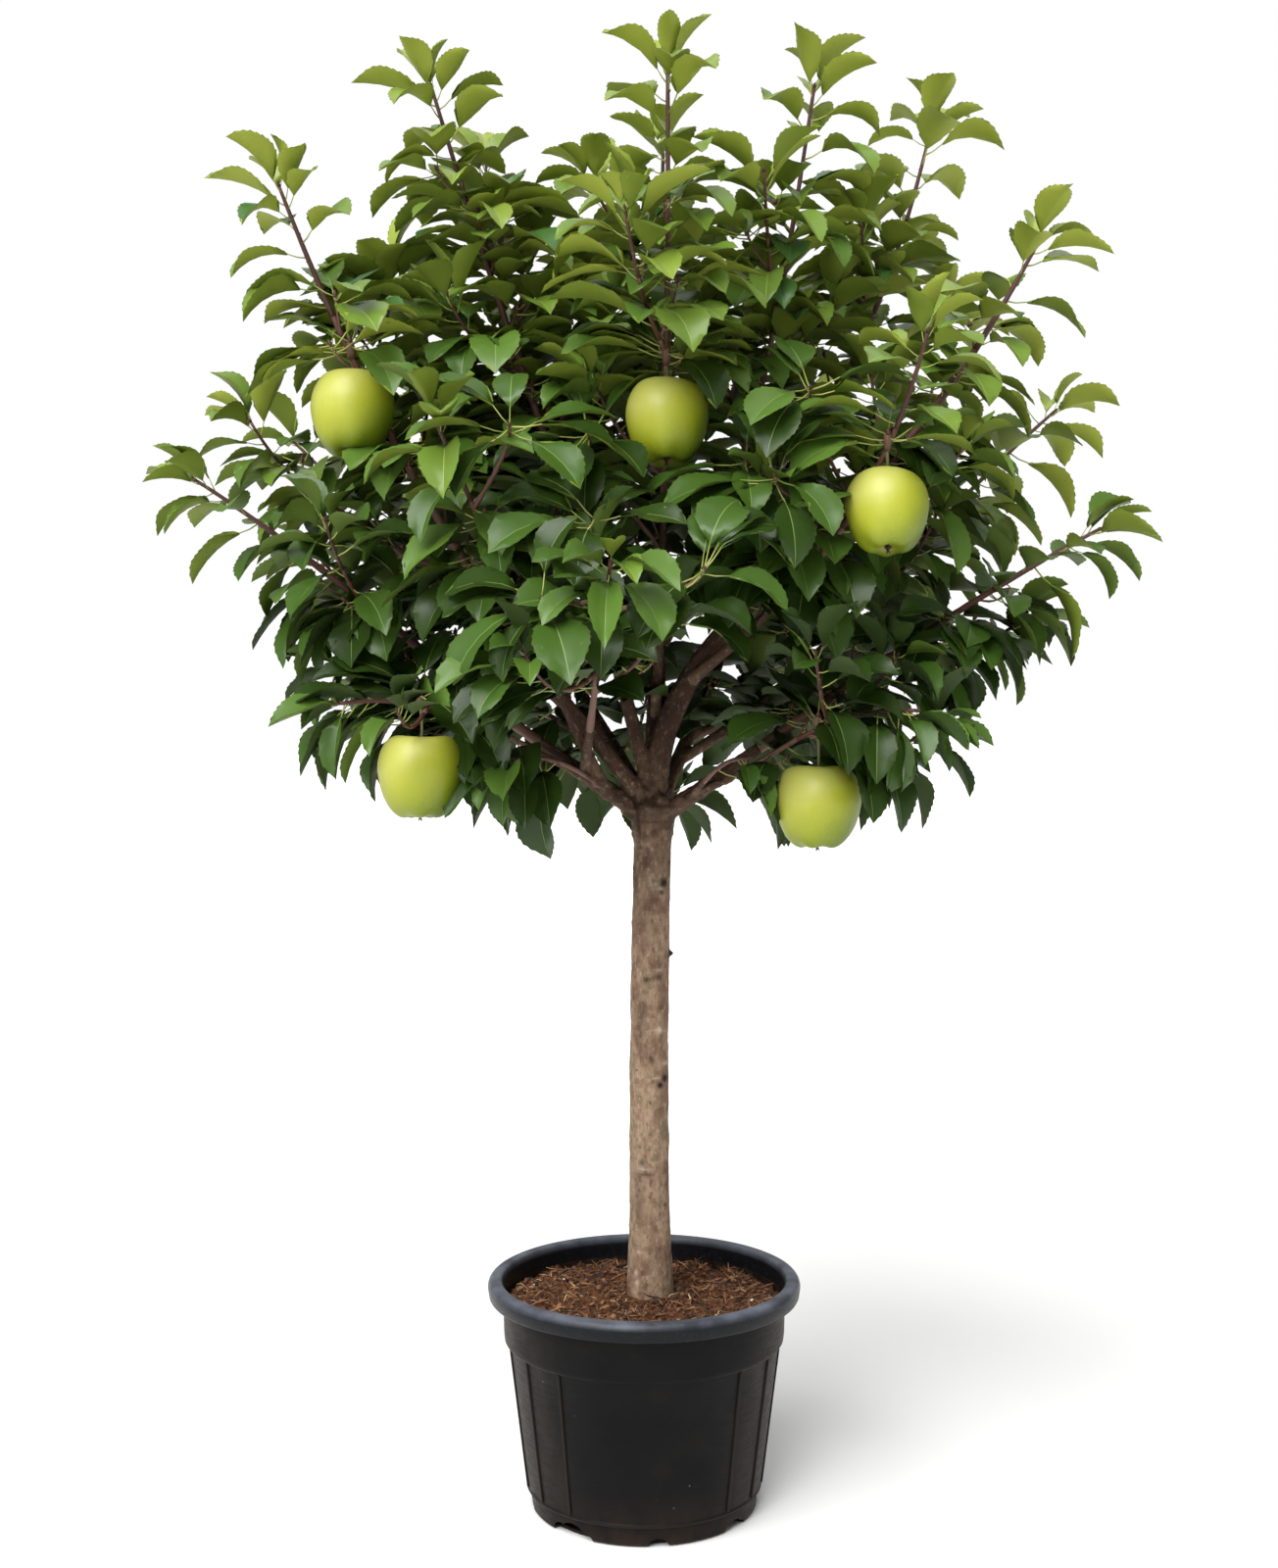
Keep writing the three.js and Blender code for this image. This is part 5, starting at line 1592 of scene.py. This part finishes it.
# How large each apple has grown: shares of the usual girth and height.
APPLE_GROWTH = {
    "left_upper": (1, 0.98),
    "top_front": (0.98, 0.95),
    "front_right": (0.95, 0.91),
    "low_left": (1.04, 0.96),
    "low_right": (1.05, 0.97),
}
APPLE_RINGS = 44
APPLE_TURN = 70  # how much further round each apple is turned
# The way to the key lamp: each apple is painted paler towards it and darker away from it.
LAMP_SIDE = Vector((-0.5, -0.45, 0.74))
RIPE_AND_LIT_SQUARE, RIPE_AND_LIT_FACING = 0.4, 0.54  # tone of ripeness and painted light where the skin is square to the key lamp, and how much paler it is facing the lamp
LOBE_WIDTH, LOBE_HEIGHT = 0.018, 0.9  # of the girth, and in millimetres
UNEVEN_GIRTH = ((1, 1.3, 0.018), (2, 1, 0.012))  # waves round the apple, their shift and their share
SHOULDER_HEIGHT = 0.9
# Russet round the stalk and the eye: heights over the half-height, reaches over the radius and strength.
STALK_RUSSET = ((0.6, 0.95), (0.12, 0.42), 1)
EYE_RUSSET = ((0.6, 0.9), (0.1, 0.3), 0.8)
STALK_TUBE = {"sides": 8, "step": 4}
STALK_RADIUS = 1.5
STALK_ENDS, STALK_WAIST = 1.25, 0.35  # how much thicker its ends are, and how much of that its middle lacks
STALK_FOOT = 0.6  # over the apple's half-height
STALK_BEND = np.array([2.5, -1.5, 0])
SEPAL = {"segments": 5, "radius1": 2.0, "radius2": 0.25, "depth": 8}
SEPAL_FLATNESS = 0.45
SEPAL_LEAN = 152
SEPAL_TURN = 10  # how much further round each apple's sepals stand
SEPAL_SEAT = (1.6, 0, 3)
SEPAL_HEIGHT, EYE_HEIGHT = 0.9, 0.83  # over the half-height, below the middle
EYE_RADIUS = 2.6


def apple_turn(fruit, number):
    """Turns an apple about its stalk, and tips its eye to the front."""
    return (Matrix.Translation(Vector(fruit["centre"])) @ Matrix.Rotation(math.radians(-fruit["tip"]), 4, "X")
            @ Matrix.Rotation(math.radians(APPLE_TURN * number), 4, "Z"))


def stalk_tube(fruit):
    """The apple's stalk, from its spur into its hollow, bent a little."""
    top = np.array(apple_turn(fruit, 0) @ Vector((0, 0, APPLE_HEIGHT / 2 * STALK_FOOT)))
    bend = (fruit["seat"] + top) / 2 + STALK_BEND
    return tube(bezier(fruit["seat"], bend, top), 0, 1,
                lambda share: STALK_RADIUS * (STALK_ENDS - STALK_WAIST * math.sin(math.pi * share)),
                **STALK_TUBE)


def apple_section(radius, half):
    """The half section of an apple as evenly spaced points: radius and height."""
    knots = np.array(APPLE_SECTION) * (radius, half)
    last = len(knots) - 1
    line = Curve(lambda way: np.array([np.interp(way * last, range(len(knots)), knots[:, 0]), 0,
                                       np.interp(way * last, range(len(knots)), knots[:, 1])]))
    return [(reach, height) for reach, _, height in line.at(np.linspace(0, 1, APPLE_RINGS))]


def russet(height, reach, heights, reaches, strength):
    return smoothstep(height, *heights) * (1 - smoothstep(reach, *reaches)) * strength


def shape_lobes(vert, half, number):
    """Moves a corner of an apple by its five lobes, its uneven girth and its two shoulders."""
    x, y, z = vert.co
    turn = math.atan2(y, x)
    lobes = math.cos(APPLE_LOBES * turn + number)
    low = smoothstep(-z / half, 0.2, 1) * smoothstep(math.hypot(x, y) / APPLE_RADIUS, 0.1, 0.45)
    lean = 1
    for count, shift, share in UNEVEN_GIRTH:
        lean += share * math.cos(count * turn + shift * number)
    vert.co.x *= lean * (1 + LOBE_WIDTH * lobes * low)
    vert.co.y *= lean * (1 + LOBE_WIDTH * lobes * low)
    vert.co.z += -LOBE_HEIGHT * lobes * low
    vert.co.z += SHOULDER_HEIGHT * math.cos(2 * turn + 2 * number) * smoothstep(z / half, 0.5, 1)


def make_apple(limb, number, skin):
    """One apple: a spun section with five soft lobes at its eye. Its skin is told where it ripened and where
    painted light and shade fall on it.
    """
    girth, height = APPLE_GROWTH[limb.name]
    half = APPLE_HEIGHT / 2 * height
    work = spun(apple_section(APPLE_RADIUS * girth, half), APPLE_SEGMENTS)
    bmesh.ops.smooth_vert(work, verts=work.verts, factor=0.5,
                          use_axis_x=True, use_axis_y=True, use_axis_z=True)
    bmesh.ops.holes_fill(work, edges=[e for e in work.edges if e.is_boundary], sides=APPLE_SEGMENTS)
    bmesh.ops.recalc_face_normals(work, faces=work.faces)
    places = [[c * MM for c in vert.co] for vert in work.verts]
    hollows = []
    for vert in work.verts:
        height, reach = vert.co.z / half, math.hypot(vert.co.x, vert.co.y) / APPLE_RADIUS
        hollows.append(float(max(russet(height, reach, *STALK_RUSSET), russet(-height, reach, *EYE_RUSSET))))
        shape_lobes(vert, half, number)
    turned = apple_turn(limb.fruit, number).to_3x3()
    ripe_and_lit = [RIPE_AND_LIT_SQUARE + RIPE_AND_LIT_FACING * (turned @ vert.co).dot(LAMP_SIDE) / APPLE_RADIUS
            for vert in work.verts]
    bmesh.ops.transform(work, matrix=apple_turn(limb.fruit, number), verts=work.verts)
    piece = bmesh_piece("apple_" + limb.name, work, [skin])
    for name, values in (("skin_ripe", ripe_and_lit), ("skin_hollow", hollows)):
        piece.data.attributes.new(name, "FLOAT", "POINT").data.foreach_set("value", values)
    layer = piece.data.attributes.new("skin_place", "FLOAT_VECTOR", "POINT")
    layer.data.foreach_set("vector", np.array(places).ravel())
    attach(piece, "root")


def make_eye(limb, number, dry):
    """The dry sepals in an apple's eye, round what is left of the flower."""
    half = APPLE_HEIGHT / 2 * APPLE_GROWTH[limb.name][1]
    work = bmesh.new()
    for i in range(APPLE_LOBES):
        sepal = bmesh.ops.create_cone(work, cap_ends=True, **SEPAL)["verts"]
        turn = Matrix.Rotation(math.radians(360 / APPLE_LOBES * i + SEPAL_TURN * number), 4, "Z")
        lean = turn @ Matrix.Rotation(math.radians(SEPAL_LEAN), 4, "Y")
        bmesh.ops.scale(work, vec=(1, SEPAL_FLATNESS, 1), verts=sepal)
        seat = Matrix.Translation((0, 0, -half * SEPAL_HEIGHT)) @ lean @ Matrix.Translation(SEPAL_SEAT)
        bmesh.ops.transform(work, matrix=seat, verts=sepal)
    bmesh.ops.create_icosphere(work, subdivisions=1, radius=EYE_RADIUS,
                               matrix=Matrix.Translation((0, 0, -half * EYE_HEIGHT)))
    bmesh.ops.transform(work, matrix=apple_turn(limb.fruit, number), verts=work.verts)
    eye = bmesh_piece("apple_eye_" + limb.name, work, [dry])
    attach(eye, "root")


def make_apples():
    skin = skin_material()
    dry = plain_material("dry_sepals", "#3d2f1e", 0.9)
    for number, limb in enumerate(limb for limb in LIMBS if limb.fruit):
        make_apple(limb, number, skin)
        make_eye(limb, number, dry)


# ---- pot

POT_HEIGHT = POT_HIGH.z
RIM_RADIUS = POT_HIGH.x
RIM_DEPTH = 18
POT_SEGMENTS = 180
WALL = 3
COLLAR_FOOT = 156
COLLAR_RADIUS = 134
BODY_TOP_RADIUS = 129.5
BODY_FOOT_RADIUS = 109.5
FOOT_RING = 20
RIM_MATERIAL_FOOT = 196
ROLL = (6, 7.5)  # half-width and half-height of the rim's rolled edge
LIP_RADIUS, LIP_ROUND = 139.5, 3.5
RING_RADIUS, RING_SLOPE, RING_OUT, RING_STEP, RINGS = 134.8, 0.18, 0.5, 2.2, 8  # stacking rings inside
COLLAR_STEP = 4.5
FOOT_RING_WORN = 1.5
SHARP_ANGLE = 38
BEAD_GROUPS = 3
BEADS_IN_GROUP = 3
BEAD_STEP = 20
BEAD_TURN = 213
BEAD_WIDTH = 3
BEAD_HEIGHT = 1.5
BEAD_FOOT = 22
BEAD_ROUND = 0.8
NOTCHES = 8
NOTCH_TURN = 277
NOTCH_WIDTH = 29
NOTCH_HEIGHT = 12
NOTCH_SIDES = 12
NOTCH_DEPTH = 20
NOTCH_RANGE = (0.85, 1.15)
NOTCH_SIZES = (0.6, 0.8, 1, 0.9, 1.1, 0.8, 0.9, 1.25)
NOTCH_BITES = ((0, 1), (-0.75, 0.6), (0.8, 0.5))  # middle and size of the bites of one ragged notch
BITE_DEPTH = 0.3  # how much deeper each of them is, so that no two ends lie in one plane
MOULDED, RUBBED, DUSTY = range(3)  # materials of the pot


def body_radius(height):
    return lerp(BODY_FOOT_RADIUS, BODY_TOP_RADIUS, height / COLLAR_FOOT)


def pot_section():
    """The wall from the middle of the underside, up the outside, over the rolled rim and down inside."""
    rim_foot = POT_HEIGHT - RIM_DEPTH
    ring = body_radius(FOOT_RING)
    wide, high = ROLL
    foot = [(0, 0), (60, 0), (BODY_FOOT_RADIUS - 6, 0), (BODY_FOOT_RADIUS - 3.4, 0.5),
            (BODY_FOOT_RADIUS - 1.6, 2.4)]
    foot_ring = [(ring - 3.2, FOOT_RING - 1.6), (ring - 0.2, FOOT_RING - 1.2), (ring + 0.7, FOOT_RING - 0.2),
                 (ring + 0.7, FOOT_RING + 1.2), (ring, FOOT_RING + 2.4)]
    body = [(body_radius(height), height) for height in (60, 110, COLLAR_FOOT - 2)]
    step = [(BODY_TOP_RADIUS + COLLAR_STEP * math.sin(a),
             COLLAR_FOOT + COLLAR_STEP - COLLAR_STEP * math.cos(a)) for a in np.radians(range(10, 91, 20))]
    collar = [(COLLAR_RADIUS + 0.4, COLLAR_FOOT + 8), (COLLAR_RADIUS + 1.5, rim_foot - 1),
              (COLLAR_RADIUS + 2.6, rim_foot)]
    rim = [(RIM_RADIUS - 4, rim_foot), (RIM_RADIUS - 2.2, rim_foot + 0.7), (RIM_RADIUS - 1.2, rim_foot + 2.4)]
    roll = [(RIM_RADIUS - wide + wide * math.cos(a), POT_HEIGHT - high + high * math.sin(a))
            for a in np.radians(range(0, 91, 15))]
    lip = [(LIP_RADIUS - LIP_ROUND * math.sin(a), POT_HEIGHT - LIP_ROUND + LIP_ROUND * math.cos(a))
           for a in np.radians(range(0, 91, 22))]
    rings = [(RING_RADIUS - RING_SLOPE * i + RING_OUT * (i % 2), POT_HEIGHT - 6 - RING_STEP * i)
             for i in range(RINGS)]
    inside = [(COLLAR_RADIUS - WALL - 1, COLLAR_FOOT + 6), (BODY_TOP_RADIUS - WALL, COLLAR_FOOT - 2),
              (BODY_FOOT_RADIUS - WALL, WALL), (0, WALL)]
    return foot + foot_ring + body + step + collar + rim + roll + lip + rings + inside


def pot_body():
    """The pot without its notches and beads."""
    work = spun(pot_section(), POT_SEGMENTS)
    bmesh.ops.remove_doubles(work, verts=work.verts, dist=1e-4)
    bmesh.ops.recalc_face_normals(work, faces=work.faces)
    for face in work.faces:
        height = face.calc_center_median().z
        if height > RIM_MATERIAL_FOOT:
            face.material_index = RUBBED
        elif abs(height - FOOT_RING) < FOOT_RING_WORN:
            face.material_index = DUSTY
        else:
            face.material_index = MOULDED
    dusty = plain_material("dusty_black_polypropylene", "#171310", 0.55, 0.15)
    return bmesh_piece("nursery_pot", work, [polypropylene_material(), rim_material(), dusty])


def cut_notches(pot):
    """Cuts the ragged drainage notches into the pot's foot. Each is made of a few round bites."""
    cutters = bmesh.new()
    lay = Matrix.Rotation(math.pi / 2, 4, "Y")
    for i in range(NOTCHES * len(NOTCH_BITES)):
        notch, bite = divmod(i, len(NOTCH_BITES))
        aside, share = NOTCH_BITES[bite]
        size = NOTCH_SIZES[notch] * share * spread(NOTCH_RANGE, i, 81)
        made = bmesh.ops.create_cone(cutters, cap_ends=True, segments=NOTCH_SIDES, radius1=NOTCH_WIDTH / 2,
                                     radius2=NOTCH_WIDTH / 2, depth=NOTCH_DEPTH + BITE_DEPTH * bite)
        shift = math.degrees(aside * NOTCH_SIZES[notch] * NOTCH_WIDTH / 2 / BODY_FOOT_RADIUS)
        turn = Matrix.Rotation(math.radians(NOTCH_TURN + notch * 360 / NOTCHES + shift), 4, "Z")
        squeeze = Matrix.Diagonal((1, size, NOTCH_HEIGHT / (NOTCH_WIDTH / 2) * size, 1))
        seat = turn @ Matrix.Translation((BODY_FOOT_RADIUS - 1, 0, 0))
        bmesh.ops.transform(cutters, matrix=seat @ squeeze @ lay, verts=made["verts"])
    cutter = bmesh_piece("notches", cutters, [])
    cut = pot.modifiers.new("notches", "BOOLEAN")
    cut.operation = "DIFFERENCE"
    cut.solver = "EXACT"
    cut.use_self = True
    cut.object = cutter
    apply_modifiers(pot)
    bpy.data.objects.remove(cutter)


def add_bead(work, turn):
    """An upright bead on the pot's body, with rounded edges."""
    slope = math.atan2(BODY_TOP_RADIUS - BODY_FOOT_RADIUS, COLLAR_FOOT)
    length = COLLAR_FOOT + 1 - BEAD_FOOT
    middle = (COLLAR_FOOT + 1 + BEAD_FOOT) / 2
    made = bmesh.ops.create_cube(work, size=1)["verts"]
    bmesh.ops.scale(work, vec=(WALL, BEAD_WIDTH, length), verts=made)
    sides = {edge for vert in made for edge in vert.link_edges}
    made = bmesh.ops.bevel(work, geom=list(sides), offset=BEAD_ROUND, segments=3, profile=0.5,
                           affect="EDGES", material=-1)["verts"]
    faces = {face for vert in made for face in vert.link_faces}
    made = list({vert for face in faces for vert in face.verts})
    matrix = (Matrix.Rotation(math.radians(turn), 4, "Z")
              @ Matrix.Translation((body_radius(middle) - WALL / 2 + BEAD_HEIGHT, 0, middle))
              @ Matrix.Rotation(slope, 4, "Y"))
    bmesh.ops.transform(work, matrix=Matrix.Scale(MM, 4) @ matrix, verts=made)
    for face in {face for vert in made for face in vert.link_faces}:
        face.material_index = DUSTY


def make_pot():
    pot = pot_body()
    cut_notches(pot)
    work = bmesh.new()
    work.from_mesh(pot.data)
    for i in range(BEAD_GROUPS * BEADS_IN_GROUP):
        place = i % BEADS_IN_GROUP - (BEADS_IN_GROUP - 1) / 2
        add_bead(work, BEAD_TURN + place * BEAD_STEP + (i // BEADS_IN_GROUP) * 360 / BEAD_GROUPS)
    work.to_mesh(pot.data)
    work.free()
    pot.data.shade_smooth()
    pot.data.set_sharp_from_angle(angle=math.radians(SHARP_ANGLE))
    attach(pot, "root")
    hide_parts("pot")


# ---- compost

# The top of the bed: width of its widest waves, then how many times finer and how high each of its waves is.
BED_WIDTH = 34
BED_WAVES = ((1, 4), (2.4, 6), (6, 4))
BED_SINK = 1
HEAP_HEIGHT, HEAP_REACH, HEAP_WIDTH, HEAP_SMOOTH = 7, 20, 14, 0.6  # compost heaped about the trunk
BED_RADIUS = COLLAR_RADIUS - WALL - 0.6
BED_SIDES = 96
BED_CUTS = 20
BED_DEPTH = 20
CHIPS = 2000
CHIP_SIDES = 5
CHIP_RINGS = ((-0.5, 0.35), (-0.15, 1.0), (0.25, 0.85), (0.5, 0.25))  # place along, and share of its width
CHIP_BEND = 0.12
CHIP_ROUGH = (0.75, 1.25)
CHIP_HEIGHTS = (-0.8, 2.6)
CHIP_TILT = 0.35
# Length, width and thickness, each from the least to the most.
FIBRE = ((5, 24), (0.7, 2.2), (0.6, 1.6))
CRUMB = ((3, 8), (2.5, 6), (2, 5))
PERLITE = ((1.6, 3.2), (1.2, 2.4))
PERLITE_THICKNESS = 1.6
CRUMBS = 0.24  # share of the chips that are crumbs, short and thick
CRUMB_TONES = 4  # only chips of the first tones are
CHIP_TONES = ("#38231a", "#5c3e29", "#785336", "#8d6443", "#a57b55", "#c9ab86", "#f2ead8")  # perlite last
CHIP_SHARES = (0.24, 0.3, 0.24, 0.13, 0.05, 0.025, 0.015)


def soil_height(x, y):
    """The uneven top of the compost, a little heaped about the trunk."""
    point = Vector((x / BED_WIDTH, y / BED_WIDTH, 3))
    rough = sum(height * noise.noise(point * finer) for finer, height in BED_WAVES)
    near = math.exp(-((math.hypot(x - TRUNK_FOOT_X, y) - HEAP_REACH) / HEAP_WIDTH) ** 2)
    return SOIL_TOP - BED_SINK + rough * (1 - HEAP_SMOOTH * near) + HEAP_HEIGHT * near


def make_compost():
    """The bed that fills the pot, a plug with an uneven top."""
    work = bmesh.new()
    bmesh.ops.create_circle(work, cap_ends=True, cap_tris=True, segments=BED_SIDES, radius=BED_RADIUS)
    bmesh.ops.subdivide_edges(work, edges=work.edges[:], cuts=BED_CUTS, use_grid_fill=True)
    for vert in work.verts:
        vert.co.z = soil_height(vert.co.x, vert.co.y)
    rim = [edge for edge in work.edges if edge.is_boundary]
    walls = bmesh.ops.extrude_edge_only(work, edges=rim)["geom"]
    for vert in (item for item in walls if isinstance(item, bmesh.types.BMVert)):
        vert.co.z = SOIL_TOP - BED_DEPTH
    bmesh.ops.holes_fill(work, edges=[edge for edge in work.edges if edge.is_boundary], sides=0)
    bmesh.ops.recalc_face_normals(work, faces=work.faces)
    bed = bmesh_piece("compost", work, [compost_material()])
    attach(bed, "root")
    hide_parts("soil")


def chip_sizes(dice, tone):
    length, width, thick = (dice.uniform(*bounds) for bounds in FIBRE)
    if dice.random() < CRUMBS and tone < CRUMB_TONES:
        length, width, thick = (dice.uniform(*bounds) for bounds in CRUMB)
    if tone == len(CHIP_TONES) - 1:
        length, width = (dice.uniform(*bounds) for bounds in PERLITE)
        thick = PERLITE_THICKNESS
    return length, width, thick


def chip_corners(dice, x, y, length, width, thick):
    """Rings of corners of a rough splinter that lies on the compost, turned at random."""
    rows = []
    for along, share in CHIP_RINGS:
        bend = dice.uniform(-CHIP_BEND, CHIP_BEND) * length
        for turn in np.arange(CHIP_SIDES) * 2 * math.pi / CHIP_SIDES:
            rough = dice.uniform(*CHIP_ROUGH)
            aside = math.cos(turn) * width / 2 * share * rough + bend
            rows.append((along * length, aside, math.sin(turn) * thick / 2 * share * rough))
    matrix = (Matrix.Translation((x, y, soil_height(x, y) + dice.uniform(*CHIP_HEIGHTS)))
              @ Matrix.Rotation(dice.uniform(0, 2 * math.pi), 4, "Z")
              @ Matrix.Rotation(dice.gauss(0, CHIP_TILT), 4, "Y")
              @ Matrix.Rotation(dice.uniform(0, 3), 4, "X"))
    return [tuple(matrix @ Vector(row)) for row in rows]


def make_chips():
    """Loose bark fibres, splinters and a few grains of perlite on the compost."""
    dice = random.Random(11)
    gathered = Gathered()
    for _ in range(CHIPS):
        reach = (COLLAR_RADIUS - WALL - 5) * math.sqrt(dice.random())
        turn = dice.uniform(0, 2 * math.pi)
        x, y = reach * math.cos(turn), reach * math.sin(turn)
        tone = dice.choices(range(len(CHIP_TONES)), CHIP_SHARES)[0]
        if math.hypot(x - TRUNK_FOOT_X, y) < TRUNK_LOW_RADIUS + 4:
            continue
        corners = chip_corners(dice, x, y, *chip_sizes(dice, tone))
        gathered.add((corners, tube_faces(len(CHIP_RINGS), CHIP_SIDES)), tone)
    chips = gathered.piece("bark_chips", tone_materials("bark_chip", CHIP_TONES, 0.9))
    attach(chips, "root")


# ---- studio

CAMERA_DISTANCE = 1920
CAMERA_HEIGHT = 785
IMAGE_WIDTH, IMAGE_HEIGHT = 1304, 1600
FOCAL_PIXELS = 2035
HORIZON_ROW = 698
AXIS_COLUMN = 657.2
SENSOR = 36
ROOM_LIGHT = 0.33
FLOOR_HALF, FLOOR_DEPTH = 30000, 0.3
# Broad lamps far off: azimuth, height, how wide they look and strength.
LAMPS = (
    ("key", 240, 52, 50, 3.8),
    ("front", 248, 26, 24, 0.8),
    ("back", 80, 60, 60, 0.6),
)


def make_camera():
    data = bpy.data.cameras.new("camera")
    data.sensor_width = SENSOR
    data.lens = FOCAL_PIXELS * SENSOR / IMAGE_HEIGHT
    data.shift_x = (IMAGE_WIDTH / 2 - AXIS_COLUMN) / IMAGE_HEIGHT
    data.shift_y = (HORIZON_ROW - IMAGE_HEIGHT / 2) / IMAGE_HEIGHT
    data.clip_start, data.clip_end = 0.05, 100
    camera = make_object("camera", data)
    camera.location = (0, -CAMERA_DISTANCE * MM, CAMERA_HEIGHT * MM)
    camera.rotation_euler = (math.pi / 2, 0, 0)
    bpy.context.scene.camera = camera


def add_sun(name, azimuth, height, angle, strength):
    data = bpy.data.lights.new(name, "SUN")
    data.angle = math.radians(angle)
    data.energy = strength
    lamp = make_object(name, data)
    way = Vector(polar(azimuth, math.cos(math.radians(height)), math.sin(math.radians(height))))
    lamp.rotation_euler = way.to_track_quat("Z", "Y").to_euler()


def make_studio():
    """A white floor in a white room, a strong and a weak lamp at the front left, and one behind."""
    floor = bmesh.new()
    bmesh.ops.create_grid(floor, x_segments=1, y_segments=1, size=FLOOR_HALF)
    bmesh.ops.translate(floor, vec=(0, 0, -FLOOR_DEPTH), verts=floor.verts)
    floor = bmesh_piece("floor", floor, [plain_material("white_paper", "#f7f7f6", 0.95)])
    floor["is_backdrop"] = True
    world = bpy.data.worlds.new("studio")
    bpy.context.scene.world = world
    world.use_nodes = True
    # The room's walls look white, but light the tree less than they look.
    seen = add_node(world.node_tree, "LightPath").outputs["Is Camera Ray"]
    strength = add_node(world.node_tree, "MapRange", {
        "Value": seen, "To Min": ROOM_LIGHT, "To Max": 1.0}).outputs["Result"]
    room = world.node_tree.nodes["Background"]
    room.inputs["Color"].default_value = (1, 1, 1, 1)
    world.node_tree.links.new(strength, room.inputs["Strength"])
    for lamp in LAMPS:
        add_sun(*lamp)
    bpy.context.scene.view_settings.view_transform = "Standard"


# ---- assembly

make_pot()
make_compost()
make_chips()
make_wood()
leaf_rows, all_shoots, all_spurs = grow_crown()
make_leaves(leaf_rows)
make_twigs(all_shoots, all_spurs)
make_apples()
make_studio()
make_camera()

boxes = {"cad": CAD_BOUNDS, "visual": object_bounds()}
{name: [list(corner) for corner in box] for name, box in boxes.items()}
